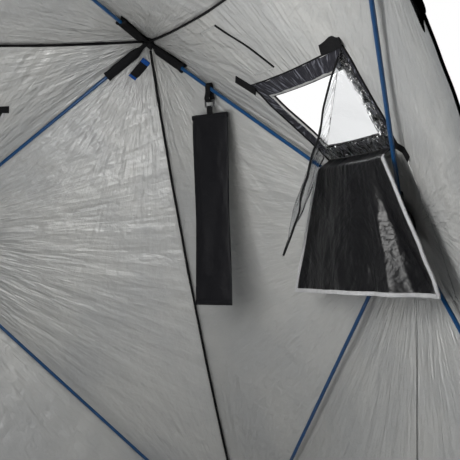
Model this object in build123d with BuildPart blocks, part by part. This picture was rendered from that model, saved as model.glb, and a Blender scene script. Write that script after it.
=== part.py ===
"""Pop-up ice fishing hut: four cloth walls and a roof, each pushed out by a hub and four rods.

The origin is on the ice at the middle of the hut and +Z is up. The right wall faces +X, the back
wall +Y, the left wall -X and the front wall, which has the door, -Y. Lengths are millimetres.
"""

import os
from math import cos, hypot, radians, sin
from typing import NamedTuple

from build123d import *

# Overall size
base_width = 2380.0
top_width = 1430.0
corner_height = 1755.0
roof_height = 2000.0
hub_reach = 1190.0
hub_height = 1155.0

# Insulated cloth, measured square to the rim of a panel, and the clearance where things touch it
cloth = 6.5
seat = 0.3

# Rods and hubs
rod_radius = 5.5
rod_hub_inset = 26.0
rod_tip_inset = 27.0
rod_hub_gap = 22.0
rod_corner_gap = 64.0
hub_plate_share = 0.075
hub_radius = 46.0
hub_thickness = 26.0
hub_chamfer = 3.0
socket_radius = 10.5
socket_reach = 110.0
socket_sides = 8
cap_radius = 17.0
cap_height = 7.0
patch_side = 380.0
patch_corner = 20.0
patch_thickness = 1.5

# Pockets that hold the rod tips
pocket_length = 150.0
pocket_half_width = 14.0
pocket_half_height = 9.0
pocket_end = 6.0
pocket_web = 5.0

# Bound seams
binding_width = 9.0
binding_height = 6.0
binding_inset = 6.7
binding_web = 3.0
binding_end_gap = 22.0

# Window in the upper quarter of a wall
window_top_width = 570.0
window_low_width = 372.0
window_height = 268.0
window_above_hub = 204.0
border_width = 44.0
border_thickness = 2.0
pane_thickness = 1.0
pane_margin = 6.0
flap_thickness = 2.5
flap_drop = 285.0
flap_hem = 12.0
flap_hem_lap = 1.5
flap_stand = 14.0
flap_fall = 6.0
flap_side_margin = 34.0

# Door in the side quarter of the front wall
door_margin = 100.0
door_corner_radius = 150.0
door_gap = 1.0
zip_width = 26.0
zip_thickness = 2.0

# Snow skirt round the foot
skirt_width = 170.0
skirt_thickness = 3.0

# Vent cover between the window and the roof seam
vent_width = 130.0
vent_height = 160.0
vent_slant = 107.0
vent_start = 70.0
vent_above_window = 24.0
vent_thickness = 2.0

# Pull loops outside the hubs
loop_radius = 52.0
loop_sides = 16
strap_width = 25.0
strap_thickness = 3.0
washer_radius = 32.0
washer_thickness = 4.0

# Gear strap on the back wall beside the corner seam
gear_strap_length = 70.0
gear_strap_width = 34.0
gear_strap_below_roof = 96.0
gear_strap_from_seam = 26.0
gear_strap_thickness = 3.0

# Sleeve that hangs from a rod of the right wall, on a webbing band and a flat buckle
hang_share = 0.75
band_width = 18.0
band_inside = 7.2
band_drop = 40.0
band_thickness = 1.5
buckle_width = 34.0
buckle_height = 22.0
buckle_bar = 4.0
buckle_corner = 3.0
sleeve_width = 128.0
sleeve_length = 560.0
sleeve_thickness = 6.0
sleeve_corner = 8.0
sleeve_neck = 22.0
loop_inside = 3.2
loop_outside = 5.4
neck_thickness = 3.0

# Worked out from the sizes above
base_half = base_width / 2
top_half = top_width / 2
slope_length = hypot(base_half - top_half, corner_height)
lean_in = (base_half - top_half) / slope_length
lean_up = corner_height / slope_length
side_angles = {"right": 0, "back": 90, "left": 180, "front": 270}


class Panel(NamedTuple):
    """One side of the hut: the plane of its rim, the rim's corners, and where its hub stands."""

    plane: Plane
    rim: tuple
    hub: tuple
    rise: float


def wall_panel(angle):
    """A leaning wall whose outside faces the given direction round the hut."""
    a = radians(angle)
    plane = Plane(
        origin=(base_half * cos(a), base_half * sin(a), 0),
        x_dir=(-sin(a), cos(a), 0),
        z_dir=(lean_up * cos(a), lean_up * sin(a), lean_in),
    )
    hub = plane.to_local_coords(Vector(hub_reach * cos(a), hub_reach * sin(a), hub_height))
    rim = (
        (-base_half, 0.0),
        (base_half, 0.0),
        (top_half, slope_length),
        (-top_half, slope_length),
    )
    return Panel(plane, rim, (0.0, hub.Y), hub.Z)


walls = {side: wall_panel(angle) for side, angle in side_angles.items()}
roof = Panel(
    Plane.XY.offset(corner_height),
    ((-top_half, -top_half), (top_half, -top_half), (top_half, top_half), (-top_half, top_half)),
    (0.0, 0.0),
    roof_height - corner_height,
)
panels = {**walls, "roof": roof}


def scaled_outline(panel, scale):
    """The rim's corners drawn in towards the hub."""
    hub_u, hub_w = panel.hub
    return [(hub_u + (u - hub_u) * scale, hub_w + (w - hub_w) * scale) for u, w in panel.rim]


def height_at(panel, scale):
    """How far the cloth stands out of the rim plane, at that scale of the rim."""
    return panel.rise * (1 - scale) / (1 - hub_plate_share)


def outline_face(points, plane):
    """A straight-sided face through points given in a plane."""
    with BuildSketch(plane) as face:
        with BuildLine():
            Polyline(*points, close=True)
        make_face()
    return face.sketch


def flat_sided(low, high):
    """The flat-sided solid between two like four-cornered rings in parallel planes."""
    rings = [low, high]
    rings += [[low[k - 1], low[k], high[k], high[k - 1]] for k in range(4)]
    return Solid(Shell([Face(Wire.make_polygon(ring)) for ring in rings]))


def swelling(panel, depth):
    """The solid between a panel's rim and its pushed-out cloth, at a depth under the outer face."""
    rings = []
    for scale in (1.0, hub_plate_share):
        level = height_at(panel, scale) - depth
        outline = scaled_outline(panel, scale)
        rings.append([panel.plane.from_local_coords((u, w, level)) for u, w in outline])
    return flat_sided(*rings)


def cloth_layer(panel, depth, thickness):
    """What lies between two depths under the panel's outer face."""
    with BuildPart() as layer:
        add(swelling(panel, depth))
        extrude(outline_face(panel.rim, panel.plane.offset(-depth)), amount=-thickness)
        add(swelling(panel, depth + thickness), mode=Mode.SUBTRACT)
    return layer.part


def trimmed_layer(panel, depth, thickness, outline):
    """A piece sewn on under a panel: a layer of it inside an outline drawn on the rim plane."""
    with BuildPart() as piece:
        add(cloth_layer(panel, depth, thickness))
        extrude(outline, amount=2 * panel.rise, mode=Mode.INTERSECT)
    return piece.part


def rod_reach(panel, corner):
    """The distance from the hub to a rim corner, in the rim plane."""
    return hypot(corner[0] - panel.hub[0], corner[1] - panel.hub[1])


def rod_ends(panel, corner):
    """The two ends of a rod's centre line: under the hub's cap, and short of a rim corner."""
    hub_u, hub_w = panel.hub
    u, w = corner
    reach = rod_reach(panel, corner)
    ends = []
    for distance, inset in (
        (rod_hub_gap, rod_hub_inset),
        (reach - rod_corner_gap, rod_tip_inset),
    ):
        scale = distance / reach
        level = height_at(panel, max(scale, hub_plate_share)) - inset
        local = (hub_u + (u - hub_u) * scale, hub_w + (w - hub_w) * scale, level)
        ends.append(panel.plane.from_local_coords(local))
    return ends


def rod_station(panel, corner, distance):
    """A plane square to a rod at a distance along it from its hub end, x across the panel."""
    start, end = rod_ends(panel, corner)
    run = (end - start).normalized()
    across = run.cross(panel.plane.z_dir)
    return Plane(origin=start + run * distance, x_dir=across, z_dir=run)


def rod_length(panel, corner):
    """A rod's length from end to end."""
    start, end = rod_ends(panel, corner)
    return (end - start).length


def along_rod(panel, corner, near, far, radius, sides=0):
    """A bar that follows a rod between two distances from its hub end: round, or with flats."""
    with BuildPart() as bar:
        with BuildSketch(rod_station(panel, corner, near)):
            if sides:
                RegularPolygon(radius, sides, major_radius=False)
            else:
                Circle(radius)
        extrude(amount=far - near)
    return bar.part


def rods(panel):
    """The four rods of a panel, from the hub's sockets to the pockets in the rim's corners."""
    with BuildPart() as four:
        for corner in panel.rim:
            add(along_rod(panel, corner, 0, rod_length(panel, corner), rod_radius))
    return four.part


def hub(panel):
    """A moulded hub: a chamfered disc with a cap nut and four sockets for the rods."""
    top = panel.rise - cloth - patch_thickness - 2 * seat
    face = Plane(
        origin=panel.plane.from_local_coords((*panel.hub, top)),
        x_dir=panel.plane.x_dir,
        z_dir=panel.plane.z_dir,
    )
    with BuildPart() as body:
        with BuildSketch(face):
            Circle(hub_radius)
        extrude(amount=-hub_thickness)
        chamfer(body.edges().filter_by(GeomType.CIRCLE), length=hub_chamfer)
        for corner in panel.rim:
            add(along_rod(panel, corner, 0, socket_reach, socket_radius, socket_sides))
        with BuildSketch(face.offset(-hub_thickness)):
            RegularPolygon(cap_radius, 6)
        extrude(amount=-cap_height)
        for corner in panel.rim:
            bore = rod_radius + seat
            add(
                along_rod(panel, corner, -seat, socket_reach + seat, bore, socket_sides),
                mode=Mode.SUBTRACT,
            )
    return body.part


def hub_patch(panel):
    """The black reinforcement between the cloth and the hub, set square to the rods."""
    centre = Plane(
        origin=panel.plane.from_local_coords((*panel.hub, 0)),
        x_dir=panel.plane.x_dir,
        z_dir=panel.plane.z_dir,
    )
    with BuildSketch(centre) as outline:
        cut_square = Rectangle(patch_side, patch_side)
        chamfer(cut_square.vertices(), length=patch_corner)
    return trimmed_layer(panel, cloth + seat, patch_thickness, outline.sketch)


def pull_loop(panel):
    """A washer outside the hub and the webbing loop that pulls the panel open."""
    face = Plane(
        origin=panel.plane.from_local_coords((*panel.hub, panel.rise + seat)),
        x_dir=panel.plane.x_dir,
        z_dir=panel.plane.z_dir,
    )
    upright = Plane(origin=face.origin, x_dir=face.x_dir, z_dir=face.y_dir * -1)
    with BuildPart() as loop:
        with BuildSketch(face):
            RegularPolygon(washer_radius, loop_sides)
        extrude(amount=washer_thickness)
        with BuildSketch(upright):
            with Locations((0, washer_thickness)):
                RegularPolygon(loop_radius, loop_sides)
                RegularPolygon(loop_radius - strap_thickness, loop_sides, mode=Mode.SUBTRACT)
                Rectangle(
                    4 * loop_radius,
                    2 * loop_radius,
                    align=(Align.CENTER, Align.MAX),
                    mode=Mode.SUBTRACT,
                )
        extrude(amount=strap_width / 2, both=True)
        with BuildSketch(face.offset(washer_thickness - strap_thickness)):
            Rectangle(2 * loop_radius, strap_width)
        extrude(amount=strap_thickness)
    return loop.part


def pocket(panel, corner):
    """A flat sleeve round a rod's tip, closed at the corner and sewn on by a web to the cloth."""
    tip = rod_length(panel, corner)
    mouth = tip - pocket_length
    end = tip + pocket_end
    crown = pocket_half_width / 2
    with BuildPart() as sleeve:
        with BuildSketch(rod_station(panel, corner, mouth)):
            with BuildLine():
                Polyline(
                    (-pocket_half_width, 0),
                    (-crown, -pocket_half_height),
                    (crown, -pocket_half_height),
                    (pocket_half_width, 0),
                    (crown, pocket_half_height),
                    (-crown, pocket_half_height),
                    close=True,
                )
            make_face()
            Rectangle(pocket_web, rod_tip_inset, align=(Align.CENTER, Align.MAX))
        extrude(amount=end - mouth)
        add(cloth_layer(panel, -2 * cloth, 3 * cloth + seat), mode=Mode.SUBTRACT)
        add(
            along_rod(panel, corner, mouth - seat, tip + seat, rod_radius + seat, socket_sides),
            mode=Mode.SUBTRACT,
        )
    return sleeve.part


def side_wall(angle, panel):
    """The cloth of one wall, mitred to its neighbours at the corner seams and level at the foot."""
    with BuildPart() as wall:
        add(cloth_layer(panel, 0, cloth))
        for turn in (-45, 45):
            a = radians(angle + turn)
            split(bisect_by=Plane(origin=(0, 0, 0), z_dir=(cos(a), sin(a), 0)), keep=Keep.TOP)
        split(bisect_by=Plane.XY, keep=Keep.TOP)
    return wall.part


def window_outline(panel, inset):
    """The window's trapezoid, long side up, drawn on the rim plane."""
    low = panel.hub[1] + window_above_hub
    corners = (
        (-window_low_width / 2, low),
        (window_low_width / 2, low),
        (window_top_width / 2, low + window_height),
        (-window_top_width / 2, low + window_height),
    )
    with BuildSketch(panel.plane) as outline:
        with BuildLine():
            Polyline(*corners, close=True)
        make_face()
        if inset:
            offset(amount=-inset, kind=Kind.INTERSECTION, mode=Mode.REPLACE)
    return outline.sketch


def window_border(panel):
    """The strip of loop fastener sewn round the opening on the inside."""
    with BuildPart() as border:
        add(trimmed_layer(panel, cloth + seat, border_thickness, window_outline(panel, 0)))
        extrude(window_outline(panel, border_width), amount=2 * panel.rise, mode=Mode.SUBTRACT)
    return border.part


pane_depth = cloth + border_thickness + 2 * seat
flap_depth = pane_depth + pane_thickness + seat


def door_outline(panel, inset):
    """A three-cornered doorway between the corner seam and the two rods on that side."""
    with BuildSketch(panel.plane) as outline:
        with BuildLine():
            Polyline(panel.rim[0], panel.hub, panel.rim[3], close=True)
        make_face()
        offset(amount=-door_margin, kind=Kind.INTERSECTION, mode=Mode.REPLACE)
        fillet(outline.vertices(), door_corner_radius)
        if inset:
            offset(amount=-inset, mode=Mode.REPLACE)
    return outline.sketch


def surface_point(panel, u, w, depth):
    """A point in the upper quarter of a wall, at a depth under the outer face."""
    scale = (w - panel.hub[1]) / (slope_length - panel.hub[1])
    return panel.plane.from_local_coords((u, w, height_at(panel, scale) - depth))


# Cloth walls, with the windows and the doorway cut through
pieces = {}
for side, panel in walls.items():
    with BuildPart() as wall:
        add(side_wall(side_angles[side], panel))
        extrude(window_outline(panel, border_width), amount=2 * panel.rise, mode=Mode.SUBTRACT)
        if side == "front":
            extrude(door_outline(panel, 0), amount=2 * panel.rise, mode=Mode.SUBTRACT)
    pieces[f"{side}_wall"] = wall

# Roof, whose edge meets the mitred tops of the walls
with BuildPart() as roof_cloth:
    under_share = 1 - cloth * lean_up / lean_in / top_half
    add(swelling(roof, 0))
    add(
        flat_sided(
            [Vector(u * under_share, v * under_share, corner_height - cloth) for u, v in roof.rim],
            [Vector(u, v, corner_height) for u, v in roof.rim],
        )
    )
    add(swelling(roof, cloth), mode=Mode.SUBTRACT)
pieces["roof"] = roof_cloth

# Rods and moulded hubs
for name, panel in panels.items():
    with BuildPart() as four_rods:
        add(rods(panel))
    pieces[f"{name}_rods"] = four_rods
    with BuildPart() as moulded_hub:
        add(hub(panel))
    pieces[f"{name}_hub"] = moulded_hub

# Patches inside the hubs, and pull loops outside
with BuildPart() as hub_patches:
    for panel in panels.values():
        add(hub_patch(panel))
pieces["hub_patches"] = hub_patches

with BuildPart() as pull_loops:
    for panel in panels.values():
        add(pull_loop(panel))
pieces["pull_loops"] = pull_loops

# Pockets round the rod tips
with BuildPart() as upper_pockets:
    for panel in walls.values():
        for corner in panel.rim[2:]:
            add(pocket(panel, corner))
    for corner in roof.rim:
        add(pocket(roof, corner))
pieces["upper_pockets"] = upper_pockets

with BuildPart() as lower_pockets:
    for panel in walls.values():
        for corner in panel.rim[:2]:
            add(pocket(panel, corner))
pieces["lower_pockets"] = lower_pockets


def binding(start, end, outward, sewn_to):
    """A bound seam: a flat tape on the seam allowance that stands in from a straight seam."""
    run = (end - start).normalized()
    inward = (outward - run * outward.dot(run)).normalized() * -1
    section = Plane(origin=start + run * binding_end_gap, x_dir=run.cross(inward), z_dir=run)
    rise = (cloth + binding_inset) * (1 if section.y_dir.dot(inward) > 0 else -1)
    with BuildPart() as tape:
        with BuildSketch(section):
            with Locations((0, rise)):
                Rectangle(binding_width, binding_height)
            with Locations((0, rise / 2)):
                Rectangle(binding_web, abs(rise))
        extrude(amount=(end - start).length - 2 * binding_end_gap)
        for panel in sewn_to:
            add(cloth_layer(panel, -cloth, 2 * cloth + seat), mode=Mode.SUBTRACT)
    return tape.part


# Bound seams down the corners and round the roof
wall_ring = list(walls.values())
with BuildPart() as corner_bindings:
    for place, turn in enumerate(side_angles.values()):
        a = radians(turn + 45)
        away = Vector(cos(a), sin(a), 0)
        foot = away * base_half * 2**0.5
        head = away * top_half * 2**0.5 + Vector(0, 0, corner_height)
        add(binding(foot, head, away, (wall_ring[place], wall_ring[(place + 1) % 4])))
pieces["corner_bindings"] = corner_bindings

with BuildPart() as roof_bindings:
    for panel in wall_ring:
        one, other = (
            panel.plane.from_local_coords((u, slope_length, 0)) for u in (-top_half, top_half)
        )
        add(binding(one, other, panel.plane.z_dir + roof.plane.z_dir, (panel, roof)))
pieces["roof_bindings"] = roof_bindings

# Snow skirt: four mitred strips that lie on the ice
with BuildPart() as snow_skirt:
    for turn in side_angles.values():
        a = radians(turn)
        inner = base_half + seat
        outer = inner + skirt_width
        lay = Plane(origin=(0, 0, 0), x_dir=(-sin(a), cos(a), 0), z_dir=(0, 0, 1))
        strip = outline_face(
            [
                (-inner + 2 * seat, -inner),
                (inner - 2 * seat, -inner),
                (outer - 2 * seat, -outer),
                (-outer + 2 * seat, -outer),
            ],
            lay,
        )
        extrude(strip, amount=skirt_thickness)
pieces["snow_skirt"] = snow_skirt

# Window borders, panes and black-out flaps
for side, panel in walls.items():
    with BuildPart() as border:
        add(window_border(panel))
    pieces[f"{side}_window_border"] = border
    if side == "right":
        continue
    with BuildPart() as pane:
        outline = window_outline(panel, pane_margin)
        add(trimmed_layer(panel, pane_depth, pane_thickness, outline))
    pieces[f"{side}_window_pane"] = pane
    with BuildPart() as flap:
        outline = window_outline(panel, 0)
        add(trimmed_layer(panel, flap_depth, flap_thickness, outline))
    pieces[f"{side}_window_flap"] = flap

# The right window: its pane is peeled off as far as a fold from corner to corner, and hangs
right = walls["right"]
window_low = right.hub[1] + window_above_hub
window_top = window_low + window_height
fold_top = (-window_top_width / 2 + 2 * pane_margin, window_top - pane_margin)
fold_low = (window_low_width / 2 - 2 * pane_margin, window_low + flap_hem + 2 * pane_margin)
with BuildPart() as right_pane:
    low_near = (-window_low_width / 2 + pane_margin, window_low + pane_margin)
    low_far = (fold_low[0], window_low + pane_margin)
    kept = outline_face([fold_top, low_near, low_far, fold_low], right.plane)
    add(trimmed_layer(right, pane_depth, pane_thickness, kept))
    front_depth = pane_depth + pane_thickness + seat
    fold_head = surface_point(right, *fold_top, front_depth)
    fold_foot = surface_point(right, *fold_low, front_depth)
    loose_corner = (window_top_width / 2 - pane_margin, window_top - pane_margin)
    loose = surface_point(right, *loose_corner, front_depth) - fold_head
    fold = (fold_foot - fold_head).normalized()
    along = loose.dot(fold)
    reach = (loose - fold * along).length
    down = (Vector(0, 0, -1) + fold * fold.Z).normalized()
    inward = fold.cross(down) * (-1 if fold.cross(down).dot(right.plane.z_dir) > 0 else 1)
    hang = Plane(origin=fold_head, x_dir=fold, z_dir=inward)
    hang_side = 1 if hang.y_dir.dot(down) > 0 else -1
    run = (fold_foot - fold_head).length
    peeled = outline_face([(0, 0), (run, 0), (along, hang_side * reach)], hang)
    extrude(peeled, amount=pane_thickness)
pieces["right_window_pane"] = right_pane

# The right window's flap is sewn on at the window's low edge, stands in over the rods and hangs
flap_top_half = window_low_width / 2 - flap_side_margin
with BuildPart() as right_flap:
    with BuildSketch(right.plane) as hem:
        with Locations((0, window_low)):
            Rectangle(2 * flap_top_half, flap_hem, align=(Align.CENTER, Align.MIN))
    add(trimmed_layer(right, flap_depth, flap_thickness, hem.sketch))
    edge = surface_point(right, 0, window_low, flap_depth)
    side_view = Plane(origin=edge, x_dir=(-1, 0, 0), z_dir=(0, 1, 0))
    seam_top = surface_point(right, 0, window_low + flap_hem_lap, flap_depth + seat)
    seam_foot = surface_point(right, 0, window_low, flap_depth + flap_thickness)
    upper, lower = (side_view.to_local_coords(point) for point in (seam_top, seam_foot))
    far = flap_stand + flap_thickness
    shoulder = outline_face(
        [
            (upper.X, upper.Y),
            (lower.X, lower.Y),
            (flap_stand, -flap_fall - flap_thickness),
            (far, -flap_fall - flap_thickness),
            (far, -flap_fall),
        ],
        side_view,
    )
    extrude(shoulder, amount=flap_top_half, both=True)
    hanging = Plane(
        origin=edge + Vector(-flap_stand, 0, -flap_fall),
        x_dir=(0, 1, 0),
        z_dir=(-1, 0, 0),
    )
    down_sign = 1 if hanging.y_dir.Z < 0 else -1
    drop = down_sign * flap_drop
    sheet = outline_face(
        [
            (-flap_top_half, 0),
            (flap_top_half, 0),
            (window_top_width / 2, drop),
            (-window_top_width / 2, drop),
        ],
        hanging,
    )
    extrude(sheet, amount=flap_thickness)
pieces["right_window_flap"] = right_flap

# Vent cover above the right window, with its sides along the rod
with BuildPart() as vent_cover:
    low = window_top + vent_above_window
    outline = outline_face(
        [
            (vent_start, low),
            (vent_start + vent_width, low),
            (vent_start + vent_width + vent_slant, low + vent_height),
            (vent_start + vent_slant, low + vent_height),
        ],
        right.plane,
    )
    add(trimmed_layer(right, cloth + seat, vent_thickness, outline))
pieces["vent_cover"] = vent_cover

# Door: a cloth panel in the doorway and the zip that closes it
front = walls["front"]
with BuildPart() as door_flap:
    add(trimmed_layer(front, 0, cloth, door_outline(front, door_gap)))
pieces["door_flap"] = door_flap

with BuildPart() as door_zip:
    add(trimmed_layer(front, cloth + seat, zip_thickness, door_outline(front, -zip_width / 2)))
    extrude(door_outline(front, zip_width / 2), amount=2 * front.rise, mode=Mode.SUBTRACT)
pieces["door_zip"] = door_zip

# Sleeve on a rod of the right wall: a webbing band, a flat buckle and the sleeve itself
hang_from = rod_length(right, right.rim[2]) * hang_share
hang_station = rod_station(right, right.rim[2], hang_from)
on_rod = hang_station.origin
rod_run = hang_station.z_dir
level_run = Vector(rod_run.X, rod_run.Y, 0)
rod_climb = rod_run.Z / level_run.length
band_lift = rod_radius * hypot(1, rod_climb) + band_width / 2 * rod_climb + seat
across_run = Vector(level_run.Y, -level_run.X, 0)
hang_plane = Plane(origin=on_rod, x_dir=across_run, z_dir=level_run * -1)
with BuildPart() as sleeve_band:
    with BuildSketch(hang_plane):
        with Locations((0, (band_lift - band_drop) / 2)):
            inside = (band_lift + band_drop, 2 * band_inside)
            SlotOverall(*(size + 2 * band_thickness for size in inside), rotation=90)
            SlotOverall(*inside, rotation=90, mode=Mode.SUBTRACT)
    extrude(amount=band_width / 2, both=True)
pieces["sleeve_band"] = sleeve_band

bar_sag = band_inside - (band_inside**2 - (buckle_bar / 2) ** 2) ** 0.5
buckle_middle = band_drop - bar_sag - seat - buckle_bar + buckle_height / 2
face_plane = Plane(
    origin=on_rod - Vector(0, 0, buckle_middle), x_dir=level_run * -1, z_dir=across_run * -1
)
with BuildPart() as sleeve_buckle:
    with BuildSketch(face_plane):
        RectangleRounded(buckle_width, buckle_height, buckle_corner)
        Rectangle(
            buckle_width - 2 * buckle_bar, buckle_height - 2 * buckle_bar, mode=Mode.SUBTRACT
        )
    extrude(amount=buckle_bar / 2, both=True)
pieces["sleeve_buckle"] = sleeve_buckle

low_bar = buckle_middle + buckle_height / 2 - buckle_bar / 2
with BuildPart() as hanging_sleeve:
    with BuildSketch(hang_plane):
        with Locations((0, -low_bar)):
            Rectangle(neck_thickness, sleeve_neck, align=(Align.CENTER, Align.MAX))
            Circle(loop_outside)
            Circle(loop_inside, mode=Mode.SUBTRACT)
    extrude(amount=band_width / 2, both=True)
    with BuildSketch(face_plane):
        with Locations((0, buckle_middle - low_bar - sleeve_neck + neck_thickness)):
            with Locations((0, -sleeve_length / 2)):
                RectangleRounded(sleeve_width, sleeve_length, sleeve_corner)
    extrude(amount=sleeve_thickness / 2, both=True)
pieces["hanging_sleeve"] = hanging_sleeve

# Gear strap on the back wall, flat against the cloth beside the corner seam
back = walls["back"]
with BuildPart() as gear_strap:
    with BuildSketch(back.plane) as outline:
        with Locations((-top_half + gear_strap_from_seam, slope_length - gear_strap_below_roof)):
            Rectangle(gear_strap_width, gear_strap_length, rotation=-20)
    add(trimmed_layer(back, cloth + seat, gear_strap_thickness, outline.sketch))
pieces["gear_strap"] = gear_strap

# Labels and files
os.makedirs("parts", exist_ok=True)
for name, piece in pieces.items():
    piece.part.label = name
    export_step(piece.part, f"parts/{name}.step")
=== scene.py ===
"""Pop-up ice fishing hut: the cloth, seams, windows and hardware, built round the hut's CAD frame.

Lengths are metres, in the frame of the CAD model: +X out through the wall with the open window, +Y
out through the back wall, +Z up, and the floor at 0. A point of a side is given as (u, w) on the
plane of its rim, and depths are measured inwards from the outer face of its cloth.
"""

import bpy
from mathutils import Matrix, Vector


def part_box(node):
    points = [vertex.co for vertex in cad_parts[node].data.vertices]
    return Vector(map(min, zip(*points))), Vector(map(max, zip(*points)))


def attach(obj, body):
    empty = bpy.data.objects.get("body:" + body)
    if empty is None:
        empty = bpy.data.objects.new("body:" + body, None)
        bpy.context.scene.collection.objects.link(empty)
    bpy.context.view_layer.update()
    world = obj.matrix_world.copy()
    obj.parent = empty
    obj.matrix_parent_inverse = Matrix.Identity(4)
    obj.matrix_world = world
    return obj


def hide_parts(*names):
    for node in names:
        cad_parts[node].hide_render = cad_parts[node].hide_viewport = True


bl_info = {
    "name": "Pop-up ice fishing hut",
    "version": (1, 0, 0),
    "blender": (4, 5, 0),
    "location": "3D View > Sidebar > Hut",
    "description": "Builds the cloth, seams, windows and hardware of a hub-framed ice fishing hut",
    "category": "Object",
}

import bmesh
import bpy
import numpy as np
from bpy.props import FloatProperty, FloatVectorProperty, PointerProperty
from bpy.types import Operator, Panel, PropertyGroup
from mathutils import Matrix

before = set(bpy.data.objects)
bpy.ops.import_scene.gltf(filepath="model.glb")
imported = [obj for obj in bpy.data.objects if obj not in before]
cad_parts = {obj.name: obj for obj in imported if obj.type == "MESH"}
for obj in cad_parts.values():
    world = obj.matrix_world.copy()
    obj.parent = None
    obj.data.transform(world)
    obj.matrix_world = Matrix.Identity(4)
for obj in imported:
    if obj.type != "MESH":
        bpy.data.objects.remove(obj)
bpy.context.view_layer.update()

# The hut's frame, as in the CAD part
BASE_HALF, TOP_HALF, CORNER_HEIGHT = 1.19, 0.715, 1.755
HUB_HEIGHT, ROOF_RISE = 1.155, 0.245
SLOPE = float(np.hypot(BASE_HALF - TOP_HALF, CORNER_HEIGHT))
LEAN_IN, LEAN_UP = (BASE_HALF - TOP_HALF) / SLOPE, CORNER_HEIGHT / SLOPE
HUB_W = HUB_HEIGHT / SLOPE * CORNER_HEIGHT
HUB_RISE = HUB_HEIGHT * LEAN_IN
PLATE = 0.075  # share of the way from a hub to the rim where the cloth lies flat on the hub
CLOTH = 0.0065  # thickness of the cloth, and so the depth of its inner face
ROD_START, ROD_SHORT = 0.022, 0.064  # a rod's ends: off the hub's middle, and short of the corner
ROD_DEPTHS = 0.026, 0.027  # of the centre line at those two ends
TURNS = {"right": 0, "back": 90, "left": 180, "front": 270}

# The window, on the rim plane of a wall: half widths, and heights up the slope
WINDOW_LOW = HUB_W + 0.204
WINDOW_TOP = WINDOW_LOW + 0.268
WINDOW_TOP_HALF, WINDOW_LOW_HALF = 0.285, 0.186

# Creases and thin sheets
DRAG_TURN = 0.21  # radians between a rod and the long folds beside it
RAY_START = 0.04  # added to a distance before its logarithm is taken, so that rays have a start
UPWARDS = np.array((0.0, 1.0))
SQUARE = np.array([(-1, -1), (1, -1), (1, 1), (-1, 1)])
SPACING = 0.016  # between the points of the large cloths
SEAM_POINTS = 110
EAVES_SAG = 1.67  # how many times the corner seams' draw-in the eaves sag
FILM, THIN, DOUBLED = 0.0006, 0.0008, 0.0012  # thickness of vinyl, light cloth, doubled cloth
ZIP_HALF, ZIP_SEWN = 0.0135, 0.0066  # half width of the zip, and the depth of its sewn edges

# Depths at which things lie on the cloth inside
TAPE_LIES, WEB_LIES = CLOTH + 0.0068, CLOTH + 0.003
BORDER_LIES, BINDING_LIES, TAB_LIES = CLOTH + 0.0002, CLOTH + 0.0018, CLOTH + 0.0044
FILM_LIES, FLAP_LIES = CLOTH + 0.0028, CLOTH + 0.0052

# Lamps: name, place, target, side, watts and colour
LAMPS = (
    ("key", (-4.5, -5.0, 5.5), (0, 0, 0.9), 4.0, 420, (1, 1, 1)),
    ("fill", (5.5, -3.0, 4.0), (0, 0, 0.9), 4.0, 200, (1, 1, 1)),
    ("rim", (2.0, 6.0, 4.5), (0, 0, 0.9), 4.0, 220, (1, 1, 1)),
    ("inside key", (0.10, -0.48, 1.22), (0.80, 0.80, 1.12), 0.6, 12.4, (1.0, 0.98, 0.95)),
    ("inside fill", (-0.2, -0.70, 1.15), (1.1, 0.4, 1.0), 0.8, 6.0, (0.90, 0.95, 1.0)),
    ("inside low", (0.1, -0.2, 0.35), (0.7, 0.8, 1.3), 0.5, 0.5, (1, 1, 1)),
)

# Camera: place, turns in radians, focal length and shift in widths of the picture, and clipping,
# which starts past the front wall, so that the inside is seen through it
EYE = (-0.155, -2.361, 1.092)
YAW, PITCH, ROLL = 0.305, 0.025, -0.021
FOCAL, SHIFT = 1040.6 / 460, (0.0978, -0.0065)
CLIP = 1.798, 90.0
SENSOR = 36.0


# ---------------------------------------------------------------- numbers and shapes


def unit(v):
    """Each vector divided by its own length."""
    return v / np.linalg.norm(v, axis=-1, keepdims=True)


def step(x):
    """A smooth ramp: 0 up to 0, 1 from 1 on, three x squared less two x cubed between."""
    x = np.clip(x, 0, 1)
    return x * x * (3 - 2 * x)


def heading_of(path):
    """The direction of travel at each point of a path."""
    return unit(np.gradient(path, axis=0))


def travelled(loop):
    """How far round a closed path it is from its start to each point's next one."""
    return np.cumsum(np.linalg.norm(np.diff(loop, axis=0, append=loop[:1]), axis=1))


def paired(one, other):
    """Two coordinates side by side, each spread to the same grid."""
    return np.stack(np.broadcast_arrays(one, other), axis=-1)


def circle(count):
    """Directions all round, each as its cosine and sine."""
    angle = 2 * np.pi * np.arange(count) / count
    return np.stack([np.cos(angle), np.sin(angle)], axis=1)


def noise(x, y, seed, size=64):
    """Smooth noise from -1 to 1: seeded random numbers on a lattice, blended with that ramp."""
    table = np.random.default_rng(seed).uniform(-1, 1, (size, size))
    x0, y0 = np.floor(x), np.floor(y)
    fx, fy = step(x - x0), step(y - y0)
    i, j = x0.astype(int) % size, y0.astype(int) % size
    k, m = (i + 1) % size, (j + 1) % size
    low = table[i, j] * (1 - fx) + table[k, j] * fx
    high = table[i, m] * (1 - fx) + table[k, m] * fx
    return low * (1 - fy) + high * fy


def polar(off, facing):
    """Angle from a facing direction, and logarithm of the distance, of points that far off."""
    ahead = (off * facing).sum(axis=-1)
    aside = off[..., 1] * facing[..., 0] - off[..., 0] * facing[..., 1]
    return np.arctan2(aside, ahead), np.log(np.linalg.norm(off, axis=-1) + RAY_START)


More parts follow.
